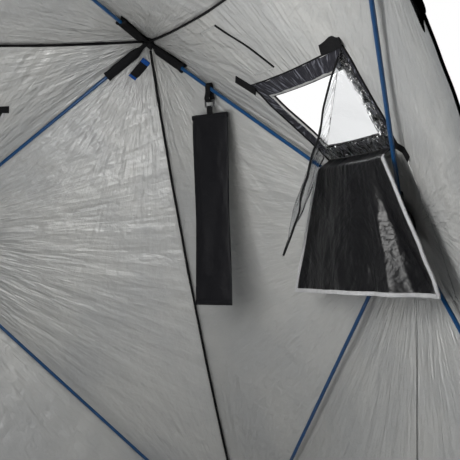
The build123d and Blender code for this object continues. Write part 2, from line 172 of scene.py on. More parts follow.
class Side:
    """One side of the hut: a rim of four corners drawn on a plane, and the hub that pushes the
    cloth out of that plane."""

    def __init__(self, origin, across, outward, rim, hub, rise, pulls, seed):
        self.rise, self.seed = rise, seed
        self.origin, self.across, self.outward = (np.array(v) for v in (origin, across, outward))
        self.up = np.cross(self.outward, self.across)
        self.rim, self.hub = np.array(rim, float), np.array(hub, float)
        self.pulls = np.array(pulls, float)
        ahead = np.roll(self.rim, -1, axis=0) - self.rim
        self.length = np.linalg.norm(ahead, axis=1)
        self.along = ahead / self.length[:, None]
        self.away = np.stack([self.along[:, 1], -self.along[:, 0]], axis=1)
        self.reach = ((self.rim - self.hub) * self.away).sum(axis=1)

    def rough(self, x, y, number):
        """One of the side's own noises."""
        return noise(x, y, self.seed + number)

    def shares(self, uw):
        """How far a point lies from the hub towards the rim, 0 to 1, the largest of its distances
        square to the four edges; the edge it lies towards, and how far along that edge."""
        off = uw - self.hub
        out = off @ self.away.T / self.reach
        edge = out.argmax(axis=-1)
        share = np.maximum(out.max(axis=-1), 1e-6)
        met = self.hub + off / share[..., None]
        along = ((met - self.rim[edge]) * self.along[edge]).sum(axis=-1) / self.length[edge]
        return share, edge, np.clip(along, 0, 1)

    def creases(self, uw, share, edge, along):
        """Height of the creases: noise in angle and distance round each corner and the hub, so that
        it runs in rays from them, puckers square to the seams and the rods, and broad soft waves.
        It fades out at the rim."""
        u, w = np.moveaxis(uw, -1, 0)
        total = 0.5 * self.rough(u / 0.19, w / 0.23, 0)
        total += 0.25 * self.rough(u / 0.075, w / 0.09, 40)
        angle, far = polar(uw - self.hub, UPWARDS)
        clear = step(share * 3 - 0.3)
        total += 0.8 * self.rough(angle * 9, far * 1.3 + 20, 50) * clear
        total += 0.35 * self.rough(angle * 26, far * 1.9 + 20, 51) * clear
        beside = np.minimum(along, 1 - along) * self.length[edge] * share
        pucker = self.rough(share * self.reach[edge] / 0.036, 7.3 * edge + beside / 0.4, 52)
        held = np.exp(-beside / 0.12) * step(beside / 0.03) * step(share * 4 - 0.4)
        total += 0.7 * pucker * held
        for k, corner in enumerate(self.rim):
            facing = unit(self.hub - corner)
            angle, far = polar(uw - corner, facing)
            fade = np.exp(-((np.exp(far) / 0.78) ** 1.5))
            total += 0.95 * fade * self.rough(angle * 11 + 9 * k, far * 1.7 + 20, k)
            total += 0.4 * fade * self.rough(angle * 25 + 5, far * 2.6 + 20, 10 + k)
            total += self.drag(uw - corner, facing, k)
        gap = (1 - share) * self.reach[edge]
        pucker = self.rough(along * self.length[edge] / 0.052, 9.7 * edge + gap / 0.3, 30)
        total += 0.9 * pucker * np.exp(-gap / 0.1) * np.sin(np.pi * along)
        return bpy.context.scene.hut.crease_depth * total * step(gap / 0.035)

    def drag(self, off, facing, k):
        """Long straight folds beside a rod, side by side and a little turned away from it: noise in
        the distance across them, strongest some way from the corner."""
        total = 0
        for turn in (DRAG_TURN, -DRAG_TURN):
            c, s = np.cos(turn), np.sin(turn)
            heading = np.array((facing[0] * c - facing[1] * s, facing[0] * s + facing[1] * c))
            ahead = off @ heading
            aside = (off @ np.array((-heading[1], heading[0]))) * np.sign(turn)
            held = step((aside + 0.02) / 0.08) * np.exp(-((aside / 0.26) ** 2))
            held = held * step(ahead / 0.2) * np.exp(-(((ahead - 0.45) / 0.32) ** 2))
            total = total + 0.8 * held * self.rough(aside / 0.027 + 13 * k, ahead / 0.45 + 9, 53)
        return total

    def bow(self, edge, along):
        """How the cloth's pull draws a seam in: a parabola that is nothing at the two ends."""
        return self.pulls[edge] * (3 * along * (1 - along))[..., None]

    def flat(self, uw):
        """A point of the rim's plane in space."""
        return self.origin + uw[..., :1] * self.across + uw[..., 1:] * self.up

    def place(self, uw, depth=0.0, creased=1.0):
        """A point of the cloth in space: its place on the rim's plane, pushed out in proportion to
        its nearness to the hub, drawn in with its seam, creased, and less a depth."""
        share, edge, along = self.shares(uw)
        out = self.rise * np.minimum(1, (1 - share) / (1 - PLATE)) - depth
        out = out + creased * self.creases(uw, share, edge, along)
        drawn = self.bow(edge, along) * (share**1.6)[..., None]
        return self.flat(uw) + drawn + out[..., None] * self.outward

    def crease_marks(self, uw):
        """For the finish: angle and distance round the nearest corner, and how near that is
        (nothing where two corners are as near as each other), and the same for the hub."""
        spans = np.linalg.norm(uw[..., None, :] - self.rim, axis=-1)
        near = spans.argmin(axis=-1)
        first, second = np.moveaxis(np.sort(spans, axis=-1)[..., :2], -1, 0)
        angle, away = polar(uw - self.rim[near], unit(self.hub - self.rim)[near])
        nearness = np.exp(-((first / 0.72) ** 2)) * step((second - first) / 0.3)
        turned, off_hub = polar(uw - self.hub, UPWARDS)
        held = step((np.exp(off_hub) - 0.1) / 0.2) * np.exp(-((np.exp(off_hub) / 1.1) ** 2))
        return np.stack([angle + 7 * near, away, nearness, turned, off_hub, held], axis=-1)

    def edge_point(self, edge, share, along):
        """The (u, w) of a point towards an edge: the hub, plus a share of the way to the rim."""
        start, end = self.rim[edge], self.rim[(edge + 1) % 4]
        met = start + (end - start) * along[..., None]
        return self.hub + (met - self.hub) * share[..., None]


def hut_sides():
    """The four leaning walls, square to one another, and the roof. Their seams are drawn in, those
    beside the doorway least."""
    draw = bpy.context.scene.hut.seam_draw
    slack = (2, 1, 1, 0)  # how far the seam after each wall is drawn in, in units of that
    eaves = np.array((0, 0, -EAVES_SAG * draw))
    made = {}
    for number, (name, turn) in enumerate(TURNS.items()):
        a = np.radians(turn)
        far, near = (np.array([-np.cos(b), -np.sin(b), 0]) for b in (a + np.pi / 4, a - np.pi / 4))
        made[name] = Side(
            (BASE_HALF * np.cos(a), BASE_HALF * np.sin(a), 0),
            (-np.sin(a), np.cos(a), 0),
            (LEAN_UP * np.cos(a), LEAN_UP * np.sin(a), LEAN_IN),
            ((-BASE_HALF, 0), (BASE_HALF, 0), (TOP_HALF, SLOPE), (-TOP_HALF, SLOPE)),
            (0, HUB_W),
            HUB_RISE,
            (eaves * 0, far * slack[number] * draw, eaves, near * slack[number - 1] * draw),
            100 * number,
        )
    crown = (0, 0, CORNER_HEIGHT), (1, 0, 0), (0, 0, 1)
    made["roof"] = Side(*crown, SQUARE * TOP_HALF, (0, 0), ROOF_RISE, [eaves] * 4, 500)
    return made


def rod_line(side, corner):
    """The two ends of a rod's centre line: just off the hub's middle, and short of a corner."""
    off = side.rim[corner] - side.hub
    reach = np.linalg.norm(off)
    ends = []
    for distance, depth in zip((ROD_START, reach - ROD_SHORT), ROD_DEPTHS):
        share = distance / reach
        out = side.rise * (1 - max(share, PLATE)) / (1 - PLATE) - depth
        ends.append(side.flat(side.hub + off * share) + out * side.outward)
    return ends


def grid_faces(rows, columns, closed=False):
    """Four-sided faces of a grid of points; a closed one joins its last column to its first."""
    index = np.arange(rows * columns).reshape(rows, columns)
    if closed:
        index = np.concatenate([index, index[:, :1]], axis=1)
    corners = (index[:-1, :-1], index[:-1, 1:], index[1:, 1:], index[1:, :-1])
    return np.stack(corners, axis=-1).reshape(-1, 4)


def superellipse(width, height, count=16, power=4):
    """A rounded rectangle: cosine and sine, each drawn out by a power of two over the power."""
    way = circle(count)
    return np.sign(way) * np.abs(way) ** (2 / power) * (width / 2, height / 2)


def outline_reach(outline, inset, centre, heading, sharp=None):
    """How far a convex outline lies from a point inside it, in each direction: the nearest of its
    sides, each moved in by the inset, or a blend of them that rounds the corners."""
    ahead = np.roll(outline, -1, axis=0) - outline
    away = unit(np.stack([ahead[:, 1], -ahead[:, 0]], axis=1))
    gap = ((outline - centre) * away).sum(axis=1) - inset
    nearness = np.maximum(heading @ away.T, 0) / gap
    if sharp:
        return (nearness**sharp).sum(axis=-1) ** (-1 / sharp)
    return 1 / nearness.max(axis=-1)


def window_corners(inset=0.0):
    """The corners of the window's outline, counter-clockwise from outside, moved in by an inset."""
    low, high = WINDOW_LOW + inset, WINDOW_TOP - inset
    lean = (WINDOW_TOP_HALF - WINDOW_LOW_HALF) / (WINDOW_TOP - WINDOW_LOW)
    slack = inset * np.hypot(1, lean)
    half_low = WINDOW_LOW_HALF + lean * inset - slack
    half_high = WINDOW_TOP_HALF - lean * inset - slack
    return np.array([(-half_low, low), (half_low, low), (half_high, high), (-half_high, high)])


def spaced_path(corners, spacing, closed=True, like=None):
    """Points along straight runs between corners, evenly spaced on each run. Another outline may
    say how many points each run has."""
    ends = np.roll(corners, -1, axis=0)
    measured = corners if like is None else like
    spans = np.linalg.norm(np.roll(measured, -1, axis=0) - measured, axis=1)
    runs = []
    for start, end, span in zip(corners, ends, spans):
        count = max(2, int(span / spacing))
        runs.append(start + (end - start) * (np.arange(count) / count)[:, None])
    return np.concatenate(runs if closed else runs[:-1] + [corners[-1:]])


def flat_sheet(corners, steps):
    """A grid of (u, w) between four corners, in straight lines: bottom left, bottom right, top
    right, top left."""
    a, b = np.meshgrid(np.linspace(0, 1, steps[0]), np.linspace(0, 1, steps[1]))
    a, b = a[..., None], b[..., None]
    low = corners[0] + (corners[1] - corners[0]) * a
    high = corners[3] + (corners[2] - corners[3]) * a
    return low + (high - low) * b


# ---------------------------------------------------------------- meshes


class Patchwork:
    """Grids of points gathered into one mesh, with a flat pattern and marks for the finish."""

    def __init__(self):
        self.points, self.faces, self.flat, self.marks, self.slots = [], [], [], [], []
        self.count = 0

    def add(self, points, flat, marks=None, closed=False, flipped=False, slot=0):
        """Adds a grid of points, with its flat pattern and its marks point by point."""
        faces = grid_faces(*points.shape[:2], closed)
        points = points.reshape(-1, 3)
        self.points.append(points)
        self.faces.append((faces[:, ::-1] if flipped else faces) + self.count)
        self.flat.append(flat.reshape(-1, 2))
        self.marks.append(np.zeros((len(points), 6)) if marks is None else marks.reshape(-1, 6))
        self.slots.append(np.full(len(faces), slot))
        self.count += len(points)

    def cloth(self, side, uw, depth, **how):
        """A grid of (u, w) laid on a side at a depth, its flat pattern in metres."""
        self.add(side.place(uw, depth), uw, side.crease_marks(uw), **how)

    def band(self, path, sideways, section, scale=1.0, slot=0):
        """A superellipse carried along a path: path + x sideways + y outwards at each point. The
        section is its width, height, count and power; the scale shrinks it where the band tapers,
        and its two ends are drawn to a point to close it."""
        outline = superellipse(*section)
        ahead = heading_of(path)
        sideways = np.broadcast_to(sideways, path.shape)
        sideways = unit(sideways - ahead * (sideways * ahead).sum(axis=1, keepdims=True))
        outwards = np.cross(ahead, sideways)
        rows = np.concatenate([[0], np.arange(len(path)), [len(path) - 1]])
        size = np.concatenate([[0], np.broadcast_to(scale, len(path)), [0]])[:, None, None]
        x, y = outline[None, :, :1], outline[None, :, 1:]
        ring = path[rows, None] + size * (x * sideways[rows, None] + y * outwards[rows, None])
        run = np.cumsum(np.linalg.norm(np.diff(path, axis=0, prepend=path[:1]), axis=1))[rows]
        self.add(ring, paired(run[:, None], outline[:, 0]), closed=True, slot=slot)

    def strip(self, side, uw, depth, section, slot, creased=1.0):
        """A band laid on a side."""
        path = side.place(uw, depth, creased)
        self.band(path, np.cross(side.outward, heading_of(path)), section, slot=slot)

    def trim(self, side, corners, depth, section, slot, closed=False):
        """A strip in straight runs between corners, its ends closed; a closed run overlaps."""
        uw = spaced_path(corners, 0.012, closed)
        self.strip(side, np.concatenate([uw, uw[:2]]) if closed else uw, depth, section, slot)

    def turned(self, centre, axis, profile, count, slot):
        """A profile of (radius, height) turned round an axis through a centre."""
        aside = unit(np.cross(axis, (0.3, 0.5, 0.8)))
        rim = circle(count) @ np.stack([aside, np.cross(axis, aside)])
        profile = np.array(profile)
        ring = centre + profile[:, None, :1] * rim + profile[:, None, 1:] * axis
        angle = 2 * np.pi * np.arange(count) / count
        flat = paired(profile[:, :1], profile[:, 1:] + angle * 0.01)
        self.add(ring, flat, closed=True, slot=slot)

    def piece(self, name, finishes, *replaces):
        """The mesh of all the grids, merged where they meet, riding on the hut."""
        mesh = bpy.data.meshes.new(name)
        points, faces = np.concatenate(self.points), np.concatenate(self.faces)
        mesh.from_pydata(points.tolist(), [], faces.tolist())
        corner = np.empty(len(mesh.loops), dtype=np.int32)
        mesh.loops.foreach_get("vertex_index", corner)
        layer = mesh.uv_layers.new(name="pattern")
        layer.data.foreach_set("uv", np.concatenate(self.flat)[corner].astype(np.float32).ravel())
        marks = np.concatenate(self.marks).astype(np.float32)
        for layer_name, columns in (("corner rays", slice(0, 3)), ("hub rays", slice(3, 6))):
            layer = mesh.attributes.new(layer_name, "FLOAT_VECTOR", "POINT")
            layer.data.foreach_set("vector", marks[:, columns].ravel())
        mesh.polygons.foreach_set("material_index", np.concatenate(self.slots).astype(np.int32))
        mesh.polygons.foreach_set("use_smooth", np.ones(len(faces), dtype=bool))
        for finish in finishes:
            mesh.materials.append(finish_of(finish))
        work = bmesh.new()
        work.from_mesh(mesh)
        bmesh.ops.remove_doubles(work, verts=work.verts, dist=2e-5)
        bmesh.ops.dissolve_degenerate(work, edges=work.edges, dist=1e-6)
        work.to_mesh(mesh)
        work.free()
        thing = bpy.data.objects.new(name, mesh)
        bpy.context.scene.collection.objects.link(thing)
        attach(thing, "root")
        if replaces:
            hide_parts(*replaces)
        return thing


def thicken(thing, thickness, offset=0, inner=0, rim=0):
    """Gives a sheet its thickness, to both sides or, at an offset of -1, inwards. Its inner face
    and its rim may take a later material of its list."""
    solid = thing.modifiers.new("thickness", "SOLIDIFY")
    solid.thickness, solid.offset = thickness, offset
    solid.material_offset, solid.material_offset_rim = inner, rim
    return thing


# ---------------------------------------------------------------- finishes


class Finish:
    """A material under construction: a Principled shader and short calls that add its nodes."""

    def __init__(self, name, colour, roughness, **sockets):
        self.material = bpy.data.materials.new(name)
        self.material.use_nodes = True
        self.tree = self.material.node_tree
        self.shader = self.tree.nodes["Principled BSDF"]
        self.height = None
        facts = {"Base_Color": (*colour, 1), "Roughness": roughness, **sockets}
        for key, value in facts.items():
            self.feed(self.shader.inputs[key.replace("_", " ")], value)

    def feed(self, socket, value):
        """Sets a socket to a value, or links an output to it."""
        if isinstance(value, bpy.types.NodeSocket):
            self.tree.links.new(value, socket)
        else:
            socket.default_value = value

    def node(self, kind, inputs=(), **settings):
        """A node with its settings, and its inputs by name or number, each a value or an output."""
        made = self.tree.nodes.new("ShaderNode" + kind)
        for key, value in settings.items():
            setattr(made, key, value)
        for key, value in dict(inputs).items():
            self.feed(made.inputs[key], value)
        return made

    def maths(self, operation, one, two=0.0):
        return self.node("Math", {0: one, 1: two}, operation=operation).outputs[0]

    def pattern(self):
        """The flat pattern of the piece, in metres."""
        return self.node("UVMap", uv_map="pattern").outputs[0]

    def place(self):
        """The place in the piece's own frame, in metres."""
        return self.node("TexCoord").outputs["Object"]

    def split(self, vector):
        """The three numbers of a vector, each an output."""
        return self.node("SeparateXYZ", {0: vector}).outputs

    def joined(self, one, two):
        return self.node("CombineXYZ", {0: one, 1: two}).outputs[0]

    def marks(self, layer):
        """The three numbers that the piece's points carry for a finish."""
        return self.split(self.node("Attribute", attribute_name=layer).outputs["Vector"])

    def speckle(self, vector, scale, detail, roughness=0.5, distortion=0.0):
        inputs = {"Vector": vector, "Scale": scale, "Detail": detail, "Roughness": roughness}
        return self.node("TexNoise", {**inputs, "Distortion": distortion}).outputs[0]

    def spread(self, value, low, high, to_low=0.0, to_high=1.0):
        """A value's range from low to high, spread from one number to another and held there."""
        inputs = {0: value, 1: low, 2: high, 3: to_low, 4: to_high}
        return self.node("MapRange", inputs, interpolation_type="SMOOTHSTEP").outputs[0]

    def wave(self, value, pitch):
        """The sine of a length that comes round once in each pitch."""
        return self.maths("SINE", self.maths("MULTIPLY", value, 2 * np.pi / pitch))

    def raise_by(self, value, depth):
        """Adds a value times a depth in metres to the height of the surface."""
        lift = self.maths("MULTIPLY", value, depth)
        self.height = lift if self.height is None else self.maths("ADD", self.height, lift)

    def grain(self, depth, *speckle):
        """Adds a speckle times a depth in metres to the height of the surface."""
        self.raise_by(self.speckle(*speckle), depth)

    def weave(self, pitch, depth):
        """Plain weave: the product of two sines, one along each thread."""
        flat = self.split(self.pattern())
        one, two = self.wave(flat[0], pitch), self.wave(flat[1], pitch)
        self.raise_by(self.maths("MULTIPLY", one, two), depth)

    def rays(self, layer, across, outwards, depth):
        """Noise drawn out along rays from each corner or the hub, weighted by their nearness."""
        angle, away, nearness = self.marks(layer)
        vector = self.joined(*(
            self.maths("MULTIPLY", one, by) for one, by in ((angle, across), (away, outwards))
        ))
        value = self.maths("SUBTRACT", self.speckle(vector, 1.0, 2.0, 0.5, 0.35), 0.5)
        self.raise_by(self.maths("MULTIPLY", value, nearness), depth)

    def tint(self, amount, one, two):
        """The base colour, from one to the other by an amount."""
        made = self.node("Mix", {0: amount, 6: (*one, 1), 7: (*two, 1)}, data_type="RGBA")
        self.feed(self.shader.inputs["Base Color"], made.outputs[2])

    def polish(self, value, low, high, start=0.0, end=1.0):
        """The roughness, from low to high while a value goes from its start to its end."""
        self.feed(self.shader.inputs["Roughness"], self.spread(value, start, end, low, high))

    def done(self):
        if self.height is not None:
            bump = self.node("Bump", {"Height": self.height, "Strength": 1.0, "Distance": 1.0})
            self.feed(self.shader.inputs["Normal"], bump.outputs[0])
        return self.material


def lining(name, colour):
    """Silver-grey satin over a thin quilt: rays of fine creases, soft crumples and a weave."""
    made = Finish(name, colour, 0.46, Metallic=0.22, Specular_IOR_Level=0.45)
    pattern = made.pattern()
    made.rays("corner rays", 13.0, 2.6, 0.0115)
    made.rays("corner rays", 37.0, 5.5, 0.0056)
    made.rays("hub rays", 15.0, 3.0, 0.0130)
    made.rays("hub rays", 43.0, 6.5, 0.0056)
    crumple = made.speckle(pattern, 11.0, 4.0, 0.55, 0.25)
    made.raise_by(crumple, 0.0090)
    made.grain(0.0021, pattern, 38.0, 3.0, 0.55, 0.4)
    made.weave(0.0016, 0.00003)
    shade = made.spread(made.speckle(pattern, 3.1, 3.0, 0.55), 0.35, 0.65)
    made.tint(shade, colour * (0.88, 0.89, 0.91), colour)
    made.polish(crumple, 0.40, 0.52, 0.3, 0.7)
    return made.done()


def outer_cloth(name, colour):
    """The outer face: a coated oxford cloth with a coarse weave, rays of creases and scuffs."""
    made = Finish(name, colour, 0.55, Specular_IOR_Level=0.4)
    pattern = made.pattern()
    made.rays("corner rays", 26.0, 2.4, 0.009)
    made.rays("hub rays", 30.0, 2.4, 0.010)
    made.grain(0.0030, pattern, 13.0, 4.0, 0.6, 0.3)
    made.weave(0.0021, 0.00012)
    wear = made.spread(made.speckle(pattern, 4.0, 6.0, 0.7), 0.45, 0.75)
    made.tint(wear, colour, colour * 1.35 + 0.004)
    made.polish(wear, 0.48, 0.66)
    return made.done()


def ribbed_tape(name, colour):
    """Ribbed tape: ridges across it, a line of stitches near each edge, and lint in the ribs."""
    made = Finish(name, colour, 0.75, Specular_IOR_Level=0.12)
    run, aside, _ = made.split(made.pattern())
    made.raise_by(made.wave(run, 0.0022), 0.00012)
    off_line = made.maths("SUBTRACT", made.maths("ABSOLUTE", aside), 0.003)
    near = made.spread(made.maths("ABSOLUTE", off_line), 0.0003, 0.0007, 1.0, 0.0)
    stitch = made.spread(made.wave(run, 0.0036), -0.2, 0.3)
    made.raise_by(made.maths("MULTIPLY", near, stitch), 0.0004)
    lint = made.spread(made.speckle(made.place(), 240.0, 4.0, 0.7), 0.5, 0.8, 0.0, 0.6)
    made.tint(lint, colour, colour * 1.6 + 0.003)
    return made.done()


def loop_tape(name, colour):
    """The soft loop side of a hook-and-loop tape: short charcoal fuzz, combed and pressed down,
    with pale streaks, partly painted highlight.
    """
    made = Finish(name, colour, 0.8, Specular_IOR_Level=0.25)
    run, aside, _ = made.split(made.pattern())
    combed = made.joined(run, made.maths("MULTIPLY", aside, 0.22))
    made.grain(0.0006, made.place(), 420.0, 4.0, 0.75)
    tufts_and_painted_streaks = made.speckle(combed, 95.0, 3.0, 0.6, 0.3)
    made.raise_by(tufts_and_painted_streaks, 0.0060)
    # Pale streaks across the tape: partly lint in the fuzz, partly painted highlight where light
    # would catch it.
    made.tint(made.spread(tufts_and_painted_streaks, 0.50, 0.70), colour, (0.17, 0.175, 0.205))
    return made.done()


def blackout_cloth(name, colour):
    """Coated black nylon: long soft crumples that catch the light along their ridges."""
    made = Finish(name, colour, 0.34, Specular_IOR_Level=0.34)
    pattern = made.pattern()
    made.grain(0.0200, pattern, 6.0, 4.0, 0.62, 0.6)
    made.grain(0.0040, pattern, 21.0, 4.0, 0.6, 0.6)
    made.grain(0.0003, pattern, 75.0, 3.0)
    made.weave(0.0011, 0.00002)
    made.polish(made.speckle(pattern, 9.0, 4.0, 0.6), 0.3, 0.46, 0.35, 0.7)
    return made.done()


def clear_vinyl(name, colour):
    """Clear vinyl: see-through and glossy, nearly flat over the opening, and full of sharp crinkles
    where it is pressed on the border, as the piece's marks say."""
    made = Finish(name, colour, 0.04, IOR=1.42, Transmission_Weight=1.0)
    pattern, pressed = made.pattern(), made.marks("corner rays")[2]
    for scale, depth in ((46.0, 0.0085), (19.0, 0.0120)):
        crinkle = made.speckle(pattern, scale, 2.0, 0.5, 0.6)
        made.raise_by(made.maths("MULTIPLY", crinkle, pressed), depth)
    made.grain(0.0006, pattern, 9.0, 2.0)
    return made.done()


def glass_fibre(name, colour):
    """Pultruded glass-fibre rod with a deep gloss: faint fibres along it and rubbed streaks."""
    gloss = {"Specular_IOR_Level": 0.4, "Coat_Weight": 0.2, "Coat_Roughness": 0.15}
    made = Finish(name, colour, 0.36, **gloss)
    rub = made.spread(made.speckle(made.place(), 9.0, 5.0, 0.7), 0.45, 0.75)
    made.tint(rub, colour * 0.85, colour * 1.15 + 0.002)
    made.grain(0.00003, made.place(), 700.0, 2.0)
    made.polish(rub, 0.30, 0.42)
    return made.done()


def moulded_nylon(name, colour):
    """Moulded nylon: a spark-eroded grain, and scattered scuffs that are a little pale and rougher.
    """
    made = Finish(name, colour, 0.4, Specular_IOR_Level=0.5)
    made.grain(0.00006, made.place(), 900.0, 2.0, 0.6)
    scuff = made.spread(made.speckle(made.place(), 70.0, 5.0, 0.7), 0.5, 0.8)
    made.tint(scuff, colour, colour * 1.7 + 0.006)
    made.polish(scuff, 0.4, 0.55)
    return made.done()


def plated_steel(name, colour):
    """Dark plated steel with fine brushing and small bright wear."""
    made = Finish(name, colour, 0.32, Metallic=1.0)
    made.grain(0.00004, made.place(), 800.0, 2.0)
    wear = made.spread(made.speckle(made.place(), 120.0, 4.0, 0.6), 0.45, 0.7)
    made.tint(wear, colour, (0.4, 0.4, 0.41))
    return made.done()


def zip_tape(name, colour):
    """Zip tape: a herringbone on each side and a row of coil teeth down the middle."""
    made = Finish(name, colour, 0.6, Sheen_Weight=0.2)
    run, aside, _ = made.split(made.pattern())
    away = made.maths("ABSOLUTE", aside)
    made.raise_by(made.wave(made.maths("ADD", run, away), 0.0016), 0.00008)
    coil = made.spread(away, 0.0022, 0.0034, 1.0, 0.0)
    made.raise_by(made.maths("MULTIPLY", made.wave(run, 0.0024), coil), 0.0006)
    made.tint(coil, colour, (0.03, 0.03, 0.031))
    made.polish(coil, 0.65, 0.35)
    return made.done()


def piping(name, colour):
    """Edge binding: a folded tape with a fine rib, a little uneven in height and shade."""
    made = Finish(name, colour, 0.6, Sheen_Weight=0.2)
    made.raise_by(made.wave(made.split(made.pattern())[0], 0.0012), 0.00005)
    made.grain(0.0005, made.place(), 90.0, 3.0)
    shade = made.spread(made.speckle(made.place(), 40.0, 4.0, 0.7), 0.35, 0.7)
    made.tint(shade, colour * 0.8, colour)
    return made.done()


def sleeve_cloth(name, colour):
    """Matt black polyester of the sleeve: a plain weave, soft creases and a little lint."""
    made = Finish(name, colour, 0.6, Specular_IOR_Level=0.16)
    pattern = made.pattern()
    made.grain(0.003, pattern, 14.0, 4.0, 0.6, 1.0)
    made.grain(0.0005, pattern, 60.0, 3.0, 0.6)
    made.weave(0.0013, 0.00005)
    lint = made.spread(made.speckle(made.place(), 300.0, 4.0, 0.7), 0.55, 0.8, 0.0, 0.5)
    made.tint(lint, colour, colour * 1.8 + 0.002)
    return made.done()


# Finishes by name: what makes each, the slot of a piece that has it first, its colour or the
# setting that holds it, and a share of that
FINISHES = {
    "silver lining": (lining, "lining_cloth", "lining_colour", 1),
    "graphite shell": (outer_cloth, "shell_cloth", "shell_colour", 1),
    "black shell": (outer_cloth, "shell_cloth", "shell_colour", 0.3),
    "skirt cloth": (outer_cloth, "black_cloth", (0.016, 0.016, 0.018), 1),
    "black webbing": (ribbed_tape, "black_webbing", "webbing_colour", 1),
    "blue tab": (ribbed_tape, None, (0.006, 0.045, 0.19), 1),
    "loop tape": (loop_tape, "black_loop", (0.013, 0.013, 0.018), 1),
    "black-out cloth": (blackout_cloth, "black_cloth", (0.0022, 0.0022, 0.0030), 1),
    "clear vinyl": (clear_vinyl, "clear_vinyl", (0.96, 0.97, 0.98), 1),
    "grey piping": (piping, None, "piping_colour", 1),
    "blue rod": (glass_fibre, None, "rod_colour", 1),
    "black nylon": (moulded_nylon, None, (0.016, 0.016, 0.017), 1),
    "plated steel": (plated_steel, None, (0.16, 0.16, 0.17), 1),
    "zip tape": (zip_tape, "black_webbing", (0.012, 0.012, 0.013), 1),
    "sleeve cloth": (sleeve_cloth, "black_cloth", (0.0035, 0.0035, 0.0048), 1),
}


def finish_of(name):
    """A finish by its name, made once and shared by the pieces that have it."""
    make, _, colour, share = FINISHES[name]
    if isinstance(colour, str):
        colour = getattr(bpy.context.scene.hut, colour)
    return bpy.data.materials.get(name) or make(name, np.array(colour) * share)


def dress(node, finish):
    """Gives a solid of the CAD frame a finish."""
    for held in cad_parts[node].material_slots:
        held.material = finish_of(finish)


# ---------------------------------------------------------------- sizes and colours


def length(name, default, description):
    return FloatProperty(name=name, description=description, default=default, min=0, unit="LENGTH")


def colour(name, default, description):
    return FloatVectorProperty(
        name=name, description=description, default=default, size=3, subtype="COLOR", min=0, max=1
    )


class HutSettings(PropertyGroup):
    """Sizes and colours of the hut's cloth and hardware."""

    seam_draw: length("Seam draw-in", 0.03, "How far the cloth's pull bends the seams inwards")
    crease_depth: length("Crease depth", 0.0034, "Height of the creases in the stretched cloth")
    tape_width: length("Seam tape width", 0.0064, "Width of the tape that binds the seams inside")
    border_width: length("Window border", 0.044, "Width of the loop tape round each window")
    flap_drop: length("Flap drop", 0.345, "How far the open window's flap hangs down")
    film_drop: length("Film drop", 0.272, "How far the peeled film's corner hangs below the fold")
    pocket_length: length("Pocket length", 0.118, "Length of the pockets round the rod tips")
    lining_colour: colour("Lining", (0.42, 0.42, 0.41), "Silver-grey satin inside")
    shell_colour: colour("Shell", (0.060, 0.064, 0.070), "Outer cloth, upper part")
    webbing_colour: colour("Webbing", (0.0045, 0.0045, 0.0052), "Seam tapes, pockets and straps")
    rod_colour: colour("Rods", (0.001, 0.044, 0.135), "Glass-fibre rods")
    piping_colour: colour("Piping", (0.38, 0.38, 0.39), "Edge binding of the window flaps")


# ---------------------------------------------------------------- pieces


def facet(work, side, edge, levels, columns, slot, hole=None):
    """A quarter of a side. Plain, it is rows of shrinking rims between two rods. With a hole it
    is rings between its own boundary and the hole, matched by direction from the hole's centre."""
    along = np.linspace(0, 1, columns)
    if hole is None:
        share, run = np.meshgrid(levels, along, indexing="ij")
        work.cloth(side, side.edge_point(edge, share, run), 0, slot=slot)
        return
    # Its boundary: along the rim, in beside one rod, along the hub's plate, out beside the other
    inwards, outwards, inmost = levels[1:], levels[-2:0:-1], np.full(columns - 1, PLATE)
    shares = np.concatenate([np.ones(columns), inwards, inmost, outwards])
    runs = np.concatenate([along, 0 * inwards + 1, along[-2::-1], 0 * outwards])
    outer = side.edge_point(edge, shares, runs)
    centre, radius = hole
    heading = unit(outer - centre)
    inner = centre + heading * radius(heading)[:, None]
    even = np.linspace(0, 1, 34)[:, None, None]
    rings = outer + (inner - outer) * (0.35 * step(even) + 0.65 * even)
    work.cloth(side, rings, 0, closed=True, slot=slot)


def window_hole():
    """The window's opening: its centre, and how far its edge is in each direction."""
    inner = window_corners(bpy.context.scene.hut.border_width)
    centre = inner.mean(axis=0)
    return centre, lambda heading: outline_reach(inner, 0, centre, heading, 28)


def door_hole(side, inset=0.0):
    """The three-cornered doorway between the corner seam and two rods, its corners well rounded."""
    corners = np.array([side.rim[3], side.rim[0], side.hub])
    centre = corners.mean(axis=0) * 0.94 + side.hub * 0.06
    return centre, lambda heading: outline_reach(corners, 0.1 + inset, centre, heading, 9)


class HUT_OT_walls(Operator):
    """Build the four walls and the roof, with the windows and the doorway cut through"""

    bl_idname = "hut.walls"
    bl_label = "Walls and roof"

    def execute(self, context):
        for name, side in hut_sides().items():
            work = Patchwork()
            for edge in range(4):
                slot = 0 if name == "roof" or edge == 2 else 1
                hole = None
                if name != "roof" and edge == 2:
                    hole = window_hole()
                elif name == "front" and edge == 3:
                    hole = door_hole(side)
                columns = max(2, int(side.length[edge] / SPACING))
                facet(work, side, edge, np.linspace(1, PLATE, 54), columns, slot, hole)
                facet(work, side, edge, np.linspace(PLATE, 0, 4), columns, slot)
            node = name if name == "roof" else f"{name}_wall"
            cloths = ["graphite shell", "black shell", "silver lining"]
            wall = thicken(work.piece(f"{node}_cloth", cloths, node), CLOTH, -1, 2, 2)
        return {"FINISHED"}


